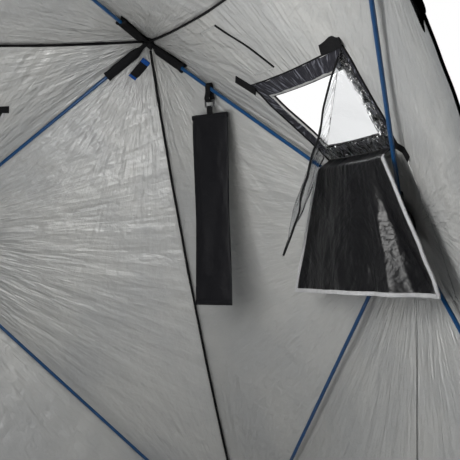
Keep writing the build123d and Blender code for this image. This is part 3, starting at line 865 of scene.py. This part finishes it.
class HUT_OT_door(Operator):
    """Build the door flap in the front wall and the zip round it"""

    bl_idname = "hut.door"
    bl_label = "Door"

    def execute(self, context):
        side = hut_sides()["front"]
        centre, radius = door_hole(side, 0.001)
        heading = circle(240)
        rim = heading * radius(heading)[:, None]
        flap = Patchwork()
        rings = centre + rim * np.linspace(1, 0, 48)[:, None, None]
        flap.cloth(side, rings, 0, closed=True)
        door = flap.piece("door_cloth", ["black shell", "silver lining"], "door_flap")
        thicken(door, CLOTH, -1, 1)

        # Zip: two tapes side by side along the doorway's edge, with the teeth raised between them,
        # inside the cloth and, lower, outside it
        work = Patchwork()
        wide = np.concatenate([[ZIP_HALF], np.linspace(ZIP_HALF, -ZIP_HALF, 13), [-ZIP_HALF]])
        raised = 0.0085 + 0.0016 * np.exp(-((wide[1:-1] / 0.004) ** 2))
        inside = np.concatenate([[ZIP_SEWN], raised, [ZIP_SEWN]])
        for depth in (inside, -0.0004 - (inside - ZIP_SEWN) * 0.8):
            edge = centre + heading * (radius(heading) + wide[:, None])[..., None]
            flat = paired(travelled(edge[0])[None], wide[:, None])
            points = side.place(edge, depth[:, None])
            work.add(points, flat, closed=True, flipped=depth is inside)

        # Sliders, each a body on the teeth and a pull that hangs from it
        waist = 0.55 + 0.45 * np.cos(np.linspace(0, 2 * np.pi, 9)) ** 2
        for near, far in (0.006, 0.010), (-0.0005, -0.003):
            for angle in (1.9, 2.2):
                way = np.array([[np.cos(angle), np.sin(angle)]])
                at = centre + way * radius(way)[:, None]
                foot, top = side.place(at, near)[0], side.place(at, far)[0]
                pull = top - side.up * np.linspace(0, 0.032, 9)[:, None]
                work.band(pull, side.across, (0.010, 0.0028), waist, 1)
                body = np.linspace(foot, top, 5) + side.up * 0.002
                work.band(body, side.across, (0.012, 0.016), slot=1)
        work.piece("door_zip_tapes", ["zip tape", "black nylon"], "door_zip")
        return {"FINISHED"}


class HUT_OT_seams(Operator):
    """Build the taped seams, the welts outside them and the corner reinforcements"""

    bl_idname = "hut.seams"
    bl_label = "Seams"

    def execute(self, context):
        sides = hut_sides()
        walls = [sides[name] for name in TURNS]
        wide = context.scene.hut.tape_width
        tapes = (wide, 0.0052, 18, 3.0), (wide * 0.8, 0.0044, 18, 3.0)
        web = (0.003, 0.012, 12)
        welt = (0.006, 0.006, 12, 2.2)
        corner, top, outside = Patchwork(), Patchwork(), Patchwork()
        for number, (wall, following) in enumerate(zip(walls, walls[1:] + walls[:1])):
            seams = (corner, 1, following, tapes[0]), (top, 2, sides["roof"], tapes[1])
            for work, edge, other, tape in seams:
                along = np.linspace(0, 1, SEAM_POINTS)
                line = wall.place(wall.edge_point(edge, np.ones(SEAM_POINTS), along))
                inward = -unit(wall.outward + other.outward)
                run = along * 9 * wall.length[edge]
                drift = 0.0009 * noise(run, 0 * run + number, 71 + edge)
                aside = np.cross(heading_of(line), inward)
                tape_line = line + inward * TAPE_LIES + aside * drift[:, None]
                work.band(tape_line[2:-2], aside[2:-2], tape)
                work.band((line + inward * WEB_LIES)[2:-2], aside[2:-2], web)
                outside.band(line - inward * 0.0008, aside, welt)
        corner.piece("corner_tapes", ["black webbing"], "corner_bindings")
        top.piece("roof_tapes", ["black webbing"], "roof_bindings")
        outside.piece("outer_welts", ["black webbing"])

        # Reinforcements: triangles of doubled cloth, sewn into each corner of each side
        patches = Patchwork()
        out, over = np.meshgrid(np.linspace(1, 0.04, 9), np.linspace(0.04, 0.96, 13), indexing="ij")
        for name, side in sides.items():
            for k in range(4):
                size = 0.13 if name != "roof" and k < 2 else 0.044
                way = side.along[k] * (1 - over)[..., None] - side.along[k - 1] * over[..., None]
                uw = side.rim[k] + size * out[..., None] * way
                patches.add(side.place(uw, CLOTH + DOUBLED), paired(out, over - 0.5) * size)
        thicken(patches.piece("corner_patches", ["black webbing"]), DOUBLED)
        return {"FINISHED"}


class HUT_OT_frame(Operator):
    """Dress the rods and hubs, and build the pockets, hub patches and pull loops"""

    bl_idname = "hut.frame"
    bl_label = "Rods, hubs and pockets"

    def execute(self, context):
        sides = hut_sides()
        for name in sides:
            dress(f"{name}_rods", "blue rod")
            dress(f"{name}_hub", "black nylon")

        # Pockets: a sleeve that closes beyond the rod's tip and runs on to its seat in the corner,
        # with a flange sewn to the cloth
        upper, lower = Patchwork(), Patchwork()
        sleeve, flange = (0.0300, 0.0160, 20, 2.1), (0.0035, 0.0205, 12)
        for name, side in sides.items():
            for k in range(4):
                start, tip = rod_line(side, k)
                ahead, far = unit(tip - start), np.linalg.norm(tip - start)
                seat = side.rim[k] + unit(side.hub - side.rim[k]) * 0.020
                beyond_tip = side.place(seat[None], CLOTH + 0.0085)[0] - tip
                gap = np.linalg.norm(beyond_tip)
                run = np.linspace(far - context.scene.hut.pocket_length, far + gap, 46)
                beyond = np.clip((run - far) / gap, 0, 1)
                path = start + ahead * np.minimum(run, far)[:, None] + beyond_tip * beyond[:, None]
                aside = unit(np.cross(ahead, side.outward))
                out = np.cross(aside, ahead)
                soft = side.rough(run / 0.021, 0 * run + k, 60 + k)
                closing = 1 - 0.55 * step((run - far + 0.004) / 0.030)
                mouth = 1 + 0.12 * step(1 - (run - run[0]) / 0.012)
                size = closing * mouth * (1 + 0.05 * soft)
                lift = 0.0105 * (1 - 0.7 * beyond)
                work = lower if name != "roof" and k < 2 else upper
                work.band(path + out * (0.0006 * soft)[:, None], aside, sleeve, size)
                work.band(path + out * lift[:, None], aside, flange, 1 - 0.55 * beyond)
        upper.piece("upper_sleeves", ["black webbing"], "upper_pockets")
        lower.piece("lower_sleeves", ["black webbing"], "lower_pockets")

        # Hub patches: a rounded square of doubled cloth inside each hub. Pull loops: a strap that
        # stands in an arch outside each hub, held by a washer and a nut
        patches, loops = Patchwork(), Patchwork()
        heading = circle(144)
        far = outline_reach(SQUARE * 0.19, 0, np.zeros(2), heading, 22)
        rings = heading * (far * np.linspace(0, 1, 20)[:, None])[..., None]
        washer = (0, 0.0048), (0.012, 0.0050), (0.029, 0.0044), (0.0318, 0.003), (0.032, 0.0002)
        nut = (0, 0.0105), (0.007, 0.0102), (0.0088, 0.009), (0.0088, 0.0045)
        tape = (0.025, 0.003, 16, 6)
        a = np.linspace(-0.06, np.pi + 0.06, 48)[:, None]
        for side in sides.values():
            patches.cloth(side, side.hub + rings, CLOTH + DOUBLED, closed=True)
            face = side.flat(side.hub) + (side.rise + 0.0003) * side.outward
            loops.turned(face, side.outward, washer, 48, 1)
            loops.turned(face, side.outward, nut, 6, 1)
            rise = 0.050 + 0.003 * np.sin(5 * a + side.seed)
            arch = face + side.outward * (0.007 + rise * np.sin(a))
            arch = arch + side.across * rise * np.cos(a) * (0.86 + 0.14 * np.sin(a))
            loops.band(arch, side.up, tape)
            foot = face + side.outward * 0.0062
            loops.band(foot + side.across * np.linspace(-0.052, 0.052, 12)[:, None], side.up, tape)
        patch = patches.piece("hub_doublings", ["silver lining"], "hub_patches")
        thicken(patch, 0.0015)
        loops.piece("pull_straps", ["black webbing", "black nylon"], "pull_loops")
        return {"FINISHED"}


def pressed_on(uw):
    """Marks for the film: 1 where it lies on the border, 0 over the opening."""
    inner = window_corners(bpy.context.scene.hut.border_width)
    off = uw - inner.mean(axis=0)
    reach = outline_reach(inner, 0, inner.mean(axis=0), unit(off + 1e-9))
    on_border = step((np.linalg.norm(off, axis=-1) - reach) / 0.006 + 0.5)
    return on_border[..., None] * np.array((0, 0, 1, 0, 0, 0))


class HUT_OT_windows(Operator):
    """Build the windows: loop-tape borders, clear films, black-out flaps and their tabs"""

    bl_idname = "hut.windows"
    bl_label = "Windows"

    def execute(self, context):
        sides = hut_sides()
        wide = context.scene.hut.border_width
        outer, inner = window_corners(), window_corners(wide)
        for name in TURNS:
            self.border(name, sides[name], outer, inner, wide)
            if name == "right":
                self.peeled_film(sides[name], outer)
                self.hanging_flap(sides[name])
            else:
                self.closed_window(name, sides[name], outer, (outer + inner) / 2)
        self.vent(sides["right"])
        frames = Patchwork()
        binding = (0.020, 0.0024, 14, 5)
        for name in TURNS:
            frames.trim(sides[name], window_corners(wide - 0.006), -0.0012, binding, 0, True)
        frames.piece("outer_window_bindings", ["black webbing"])
        return {"FINISHED"}

    def border(self, name, side, outer, inner, wide):
        """Loop tape round the opening, swollen between its two edges, bound along its outer side
        and with webbing tabs sewn at its corners."""
        work = Patchwork()
        edge, hole = spaced_path(outer, 0.009), spaced_path(inner, 0.009, like=outer)
        part = np.linspace(0, 1, 10)[:, None]
        swell = 0.0022 * (1 - (2 * part - 1) ** 6)
        uw = edge + (hole - edge) * part[..., None]
        rough = 0.0005 * side.rough(uw[..., 0] / 0.011, uw[..., 1] / 0.011, 80)
        points = side.place(uw, BORDER_LIES + swell + rough * (swell > 0))
        work.add(points, paired(travelled(edge)[None], part * wide), closed=True, flipped=True)
        bound = (1, (0.007, 0.0036)), (3, (0.007, 0.0036)), (0, (0.004, 0.003)), (2, (0.004, 0.003))
        for k, size in bound:
            work.trim(side, outer[[k, (k + 1) % 4]], BINDING_LIES, (*size, 12), 1)
        for start, end, across in (
            (outer[3] + (0.088, 0.016), outer[3] + (-0.012, 0.010), 0.034),
            (outer[2] + (0.046, 0.030), outer[2] + (-0.008, -0.022), 0.024),
            (outer[0] + (0.006, 0.012), outer[0] + (-0.030, -0.034), 0.020),
        ):
            tab = (across, 0.0022, 12, 6)
            work.strip(side, np.linspace(start, end, 14), TAB_LIES, tab, 1, 0.4)
        tape = ["loop tape", "black webbing"]
        work.piece(f"{name}_loop_border", tape, f"{name}_window_border")

    def film(self, side, corners, steps, depth, wave):
        """A grid of film between four corners. It follows the cloth's creases on the border only,
        and has a wave of its own."""
        uw = flat_sheet(corners, steps)
        pressed = pressed_on(uw)
        sheet = Patchwork()
        depth = depth + wave(uw[..., 0], uw[..., 1], pressed[..., 2])
        sheet.add(side.place(uw, depth, pressed[..., 2]), uw, pressed)
        return sheet

    def closed_window(self, name, side, outer, middle):
        """The film stretched over the opening, and the flap pressed on the border over it."""
        def wave(u, w, _):
            return 0.0007 * side.rough(u / 0.028, w / 0.05, 90)

        sheet = self.film(side, middle, (60, 34), FILM_LIES, wave)
        clear = sheet.piece(f"{name}_film", ["clear vinyl"], f"{name}_window_pane")
        thicken(clear, FILM)

        cover = Patchwork()
        uw = flat_sheet(outer, (74, 40))
        u, w = np.moveaxis(uw, -1, 0)
        ripple = 0.0022 * side.rough(u / 0.05, w / 0.11, 91)
        ripple += 0.0013 * side.rough(u / 0.021, w / 0.04, 92)
        aside = np.interp(w, outer[1:3, 1], outer[1:3, 0]) - abs(u)
        from_edge = np.minimum.reduce([w - WINDOW_LOW, WINDOW_TOP - w, aside])
        held = np.minimum(1, 0.25 + 0.75 * from_edge / 0.05)
        cover.add(side.place(uw, FLAP_LIES + abs(ripple) * held), uw, flipped=True)
        cover.trim(side, outer, FLAP_LIES, (0.010, 0.0032, 14), 1, True)
        cloths = ["black-out cloth", "grey piping"]
        flap = cover.piece(f"{name}_blackout_flap", cloths, f"{name}_window_flap")
        thicken(flap, THIN)

    def peeled_film(self, side, outer):
        """The open window's film: kept on the border up to a fold, peeled off beyond it."""
        fold_top = outer[3] + (0.012, -0.006)
        fold_low = outer[1] + (-0.012, 0.024)
        kept = np.array([outer[0] + (0.006, 0.006), outer[1] + (-0.012, 0.006), fold_low, fold_top])

        def wave(u, w, pressed):
            return abs(0.0012 * noise(u / 0.024, w / 0.03, 93) * (0.1 + pressed))

        sheet = self.film(side, kept, (60, 50), CLOTH + 0.0044, wave)

        # The peeled half: straight lines from the fold to the loose corner, bent by sag and curl
        even = np.linspace(0, 1, 70)
        along, down = np.meshgrid(even, even)
        fold = side.place(fold_top + (fold_low - fold_top) * along[..., None], FLAP_LIES)
        loose = fold[0, -1] + (-0.092, 0.080, -bpy.context.scene.hut.film_drop)
        bend = np.sin(np.pi * down)
        hanging = fold + (loose - fold) * down[..., None]
        hanging += np.array((0, 0, -0.035)) * (bend * (1 - along) ** 0.5)[..., None]
        bulge = 0.016 * np.sin(np.pi * along) * np.sin(np.pi * np.minimum(1, down * 1.15))
        curl = 0.024 * np.sin(2 * np.pi * (along * 1.6 + down * 0.7)) * down * (1 - down)
        rumple = 0.0025 * noise(along * 11, down * 7, 95)
        rumple += 0.0010 * noise(along * 27, down * 18, 96)
        edge_wave = 0.007 * noise(down * 10, 0 * down, 94) * np.exp(-along / 0.15)
        inward = bulge + curl + (rumple + edge_wave) * bend + 0.004 * step(down * 8)
        hanging += np.array((-1.0, 0.15, 0.0)) * inward[..., None]
        twist = 0.010 * np.sin(np.pi * down * 2.3 + 0.6) * (along - 0.45) * step(down * 4)
        hanging += np.array((0.15, 1.0, 0.0)) * (twist * (1 - down**3))[..., None]
        sheet.add(hanging, paired(along * 0.5, down * 0.27))
        # Its own edge strips, black, on the two free sides
        for column, wide in ((0, 0.007), (-1, 0.005)):
            rim = hanging[:, column]
            aside = unit(np.cross(heading_of(rim), (1.0, 0.2, 0.0)))
            sheet.band(rim[2:-1], aside[2:-1], (wide, 0.0014, 10, 5), slot=1)
        films = ["clear vinyl", "black webbing"]
        clear = sheet.piece("right_film", films, "right_window_pane")
        thicken(clear, FILM)

    def hanging_flap(self, side):
        """The open window's flap: it leaves the border, stands in over the rods and falls plumb, in
        soft folds, wider at its hem than at its hinge."""
        fall = bpy.context.scene.hut.flap_drop
        hinge_half, hem_half = 0.170, 0.312
        across, drop = np.meshgrid(np.linspace(-1, 1, 110), np.linspace(0, 1, 90))
        half = hinge_half + (hem_half - hinge_half) * drop
        line = side.place(paired(across * hinge_half, WINDOW_LOW + 0.010), CLOTH + 0.0056)
        line[..., 1] = across * half - 0.012 * drop
        lip = step(drop / 0.06)
        line[..., 0] -= 0.030 * lip + 0.020 * drop * (across + 0.25)
        line[..., 2] -= 0.006 * lip + fall * drop
        folds = 0.0085 * np.sin(across * 5.2 + 0.9) + 0.005 * noise(across * 3.4, drop * 1.3, 97)
        folds += 0.005 * noise(across * 7 + drop * 2, drop * 2.5, 98)
        folds += 0.002 * noise(across * 17, drop * 8, 99)
        turned_out = 0.050 * step((-across - 0.50) / 0.16) * drop
        line[..., 0] += turned_out - folds * (0.25 + 0.75 * drop) * lip
        line[..., 2] += 0.006 * drop * np.cos(across * 1.4) - 0.004
        flap = Patchwork()
        flap.add(line, paired(across * half, drop * fall))
        rim = np.concatenate([line[4:, 0], line[-1, 1:-1], line[4:, -1][::-1]])
        aside = unit(np.cross(heading_of(rim), (-1.0, 0, 0)))
        flap.band(rim, aside, (0.010, 0.0052, 14), slot=1)
        cloths = ["black-out cloth", "grey piping"]
        hung = flap.piece("right_blackout_flap", cloths, "right_window_flap")
        thicken(hung, THIN)

    def vent(self, side):
        """The vent cover: a patch of lining above the window, with one long side left open. It
        puffs out in the middle, and the open side sags by a parabola."""
        low = WINDOW_TOP + 0.024
        corners = np.array([(0.070, low), (0.200, low), (0.307, low + 0.160), (0.177, low + 0.160)])
        patch = Patchwork()
        a, b = np.meshgrid(np.linspace(0, 1, 40), np.linspace(0, 1, 46))
        uw = flat_sheet(corners, (40, 46))
        uw = uw + ((1 - a) * 4 * b * (1 - b))[..., None] * (-0.008, 0.0)
        middle_a, middle_b = np.sin(np.pi * a), np.sin(np.pi * b)
        puff = 0.0035 * middle_a**0.6 * middle_b**0.6
        crumple = 0.0030 * noise(a * 4, b * 9, 55) + 0.0014 * noise(a * 9, b * 21, 56)
        patch.cloth(side, uw, CLOTH + 0.0009 + puff + crumple * middle_a * middle_b, flipped=True)
        patch.trim(side, uw[::5, 0], CLOTH + 0.0034, (0.0045, 0.003, 12), 1)
        for k in range(3):
            patch.trim(side, corners[k : k + 2], CLOTH + 0.0012, (0.0050, 0.0016, 10), 0)
        cloths = ["silver lining", "black webbing"]
        cover = thicken(patch.piece("vent_patch", cloths, "vent_cover"), THIN)


class HUT_OT_sleeve(Operator):
    """Build the strap and the sleeve that hang from a rod, and the gear strap on the back wall"""

    bl_idname = "hut.sleeve"
    bl_label = "Sleeve and gear strap"

    def execute(self, context):
        sides = hut_sides()
        start, end = rod_line(sides["right"], 2)
        on_rod = start + (end - start) * 0.75
        level = unit(unit(end - start) * (1, 1, 0))
        across = np.array((level[1], -level[0], 0))
        upwards = np.array((0, 0, 1.0))

        # Strap: a loop of webbing over the rod that opens downwards to the buckle's upper bar
        a = np.linspace(0, 2 * np.pi, 64)
        c, s = np.cos(a), np.sin(a)
        wide = 0.0078 + 0.0100 * step(-s * 1.3)
        rise = 0.0135 * np.maximum(s, 0) - 0.0415 * np.maximum(-s, 0) ** 0.5
        path = on_rod + across * (wide * c)[:, None] + upwards * rise[:, None]
        strap = Patchwork()
        strap.band(path, level, (0.018, 0.0016, 14, 6))
        strap.piece("sleeve_strap", ["black webbing"], "sleeve_band")
        dress("sleeve_buckle", "plated steel")

        # Sleeve: a flat cloth tube; its section is a superellipse that opens and closes down it
        bottom, top = (float(corner[2]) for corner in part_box("hanging_sleeve"))
        body_top = top - 0.026
        middle = on_rod * (1, 1, 0)
        part = np.linspace(0, 1, 120)[:, None]
        c, s = circle(72).T
        x, y = np.sign(c) * np.abs(c) ** 0.55, np.sign(s) * np.abs(s) ** 0.85
        half = 0.062 + 0.0022 * np.sin(part * 7 + 1) + 0.002 * part
        puff = 0.0042 + 0.0032 * np.sin(np.pi * part) ** 0.7 + 0.0012 * np.sin(part * 19)
        puff = puff * step(part / 0.03 + 0.25) * step((1 - part) / 0.02 + 0.3)
        ripple = 0.0022 * noise(x * 2.2, part * 9, 61) + 0.0012 * noise(x * 5, part * 24, 62)
        sway = 0.004 * np.sin(part * 3.1) * part
        out = puff * y + ripple * (1 - abs(x) ** 4) + sway
        points = middle + level * (half * x)[..., None] + across * out[..., None]
        points[..., 2] = body_top + (bottom - body_top) * part
        rows = np.clip(np.arange(-1, 121), 0, 119)
        points, flat = points[rows], paired(x * 0.064, part * 0.52)[rows]
        points[[0, -1]] = points[[0, -1]].mean(axis=1, keepdims=True)
        bag = Patchwork()
        bag.add(points, flat, closed=True)
        # Neck: a webbing tab through the buckle's lower bar, sewn on the sleeve's top edge
        neck = middle + upwards * np.linspace(top - 0.003, body_top - 0.030, 24)[:, None]
        bag.band(neck, level, (0.020, 0.0046, 14, 4), slot=1)
        for height, thick in ((body_top - 0.008, 0.0115), (bottom + 0.010, 0.0105)):
            hem = middle + upwards * height + level * np.linspace(-0.063, 0.063, 30)[:, None]
            bag.band(hem, upwards, (0.014, thick, 14, 3))
        cloths = ["sleeve cloth", "black webbing"]
        bag.piece("sleeve_cloth", cloths, "hanging_sleeve")

        # Gear strap: a short doubled strap with coloured ends, sewn flat beside the corner seam
        back = sides["back"]
        lean = np.radians(33)
        centre = np.array((-TOP_HALF + 0.026, SLOPE - 0.096))
        lengthwise = np.array((-np.sin(lean), np.cos(lean)))
        line = centre + lengthwise * np.linspace(-0.035, 0.035, 26)[:, None]
        path = back.place(line, CLOTH + 0.0035)
        aside = np.cross(back.outward, heading_of(path))
        gear = Patchwork()
        for lines, slot in ((slice(0, 4), 1), (slice(3, 21), 0), (slice(20, 26), 1)):
            gear.band(path[lines], aside[lines], (0.030, 0.0046, 16, 5), slot=slot)
        gear.piece("gear_loop", ["black webbing", "blue tab"], "gear_strap")
        return {"FINISHED"}


class HUT_OT_skirt(Operator):
    """Build the snow skirt that lies on the floor round the foot"""

    bl_idname = "hut.skirt"
    bl_label = "Snow skirt"

    def execute(self, context):
        reach = float(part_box("snow_skirt")[1][0]) - BASE_HALF
        foot = BASE_HALF - 0.004
        square = spaced_path(SQUARE * foot, SPACING)
        out = np.sign(square) * (np.abs(square) > foot - 0.0005)
        part = np.linspace(0, 1, 16)[:, None]
        plan = square + out * (part * (reach - 0.008))[..., None]
        run = travelled(square)
        lift = 0.0016 + 0.010 * np.maximum(0, noise(run / 0.11, part * 1.2, 131)) * part
        lift = lift + 0.006 * np.maximum(0, noise(run / 0.04, part * 2.0, 132)) * part**2
        lift = lift + 0.016 * (1 - step(part / 0.10))
        points = np.concatenate([plan, lift[..., None]], axis=-1)
        skirt = Patchwork()
        skirt.add(points, paired(run, part * reach), closed=True, flipped=True)
        hem = np.concatenate([points[-1], points[-1, :2]])
        aside = np.cross((0, 0, 1.0), heading_of(hem))
        skirt.band(hem + (0, 0, 0.0006), aside, (0.014, 0.003, 12, 4), slot=1)
        cloths = ["skirt cloth", "black webbing"]
        sheet = skirt.piece("skirt_cloth", cloths, "snow_skirt")
        thicken(sheet, DOUBLED)
        return {"FINISHED"}


# ---------------------------------------------------------------- stage


def pose(x, y, z, at):
    """A matrix that turns the axes to x, y and z, and moves the origin to a place."""
    return Matrix([(x[i], y[i], z[i], at[i]) for i in range(3)] + [(0, 0, 0, 1)])


def lamp(name, at, towards, size, power, tint):
    """A square soft lamp that isn't seen itself."""
    light = bpy.data.lights.new(name, "AREA")
    light.size, light.energy, light.color = size, power, tint
    thing = bpy.data.objects.new(name, light)
    bpy.context.scene.collection.objects.link(thing)
    z = unit(np.array(at, float) - np.array(towards, float))
    x = unit(np.cross((0.02, 0.01, 1.0), z))
    thing.matrix_world = pose(x, np.cross(z, x), z, at)
    thing.visible_camera = False


class HUT_OT_stage(Operator):
    """Set the floor, the lamps, the white background and the camera"""

    bl_idname = "hut.stage"
    bl_label = "Stage"

    def execute(self, context):
        self.floor()
        self.background()
        for facts in LAMPS:
            lamp(*facts)
        self.camera()
        context.scene.view_settings.view_transform = "Standard"
        return {"FINISHED"}

    def floor(self):
        """A pale plane that fades to the white of the background."""
        pale = (0.78, 0.78, 0.78)
        made = Finish("pale floor", pale, 0.8, Specular_IOR_Level=0.2, Emission_Color=(1, 1, 1, 1))
        away = made.node("VectorMath", {0: made.place()}, operation="LENGTH").outputs["Value"]
        fade = made.spread(away, 2.5, 9.0)
        made.tint(fade, pale, (0, 0, 0))
        made.feed(made.shader.inputs["Emission Strength"], fade)
        mesh = bpy.data.meshes.new("floor")
        half, low = 60.0, -0.0008
        corners = [(x * half, y * half, low) for x, y in SQUARE.tolist()]
        mesh.from_pydata(corners, [], [(0, 1, 2, 3)])
        mesh.materials.append(made.done())
        floor = bpy.data.objects.new("floor", mesh)
        bpy.context.scene.collection.objects.link(floor)

    def background(self):
        """White: full where it is seen, also through film or in a gloss, half as light."""
        world = bpy.context.scene.world = bpy.data.worlds.new("studio")
        world.use_nodes = True
        nodes, links = world.node_tree.nodes, world.node_tree.links
        path = nodes.new("ShaderNodeLightPath").outputs
        seen = path["Is Camera Ray"]
        for kind in ("Is Transmission Ray", "Is Glossy Ray"):
            either = nodes.new("ShaderNodeMath")
            either.operation = "MAXIMUM"
            links.new(seen, either.inputs[0])
            links.new(path[kind], either.inputs[1])
            seen = either.outputs[0]
        level = nodes.new("ShaderNodeMapRange")
        level.inputs[3].default_value, level.inputs[4].default_value = 0.5, 1.0
        links.new(seen, level.inputs[0])
        links.new(level.outputs[0], nodes["Background"].inputs["Strength"])
        nodes["Background"].inputs["Color"].default_value = (1, 1, 1, 1)

    def camera(self):
        """The photograph's viewpoint: turned by yaw and pitch, then rolled."""
        eye = bpy.data.cameras.new("camera")
        eye.sensor_width, eye.lens = SENSOR, FOCAL * SENSOR
        eye.shift_x, eye.shift_y = SHIFT
        eye.clip_start, eye.clip_end = CLIP
        level, tilt = np.cos(PITCH), np.sin(PITCH)
        ahead = np.array((np.sin(YAW) * level, np.cos(YAW) * level, tilt))
        aside = np.array((np.cos(YAW), -np.sin(YAW), 0))
        upright = np.cross(aside, ahead)
        x = np.cos(ROLL) * aside + np.sin(ROLL) * upright
        y = -np.sin(ROLL) * aside + np.cos(ROLL) * upright
        camera = bpy.data.objects.new("camera", eye)
        camera.matrix_world = pose(x, y, -ahead, EYE)
        bpy.context.scene.collection.objects.link(camera)
        bpy.context.scene.camera = camera


class HUT_PT_panel(Panel):
    """The hut's tools, in the order in which they build it."""

    bl_idname = "HUT_PT_panel"
    bl_label = "Ice fishing hut"
    bl_space_type = "VIEW_3D"
    bl_region_type = "UI"
    bl_category = "Hut"

    def draw(self, context):
        for name in HutSettings.__annotations__:
            self.layout.prop(context.scene.hut, name)
        for operator in OPERATORS:
            self.layout.operator(operator.bl_idname)


OPERATORS = (
    HUT_OT_stage,
    HUT_OT_walls,
    HUT_OT_door,
    HUT_OT_seams,
    HUT_OT_frame,
    HUT_OT_windows,
    HUT_OT_sleeve,
    HUT_OT_skirt,
)
CLASSES = (HutSettings, *OPERATORS, HUT_PT_panel)


def register():
    for kind in CLASSES:
        bpy.utils.register_class(kind)
    bpy.types.Scene.hut = PointerProperty(type=HutSettings)


def unregister():
    del bpy.types.Scene.hut
    for kind in reversed(CLASSES):
        bpy.utils.unregister_class(kind)


def main():
    register()
    bpy.ops.hut.stage()
    bpy.ops.hut.walls()
    bpy.ops.hut.door()
    bpy.ops.hut.seams()
    bpy.ops.hut.frame()
    bpy.ops.hut.windows()
    bpy.ops.hut.sleeve()
    bpy.ops.hut.skirt()


if __name__ == "__main__":
    main()
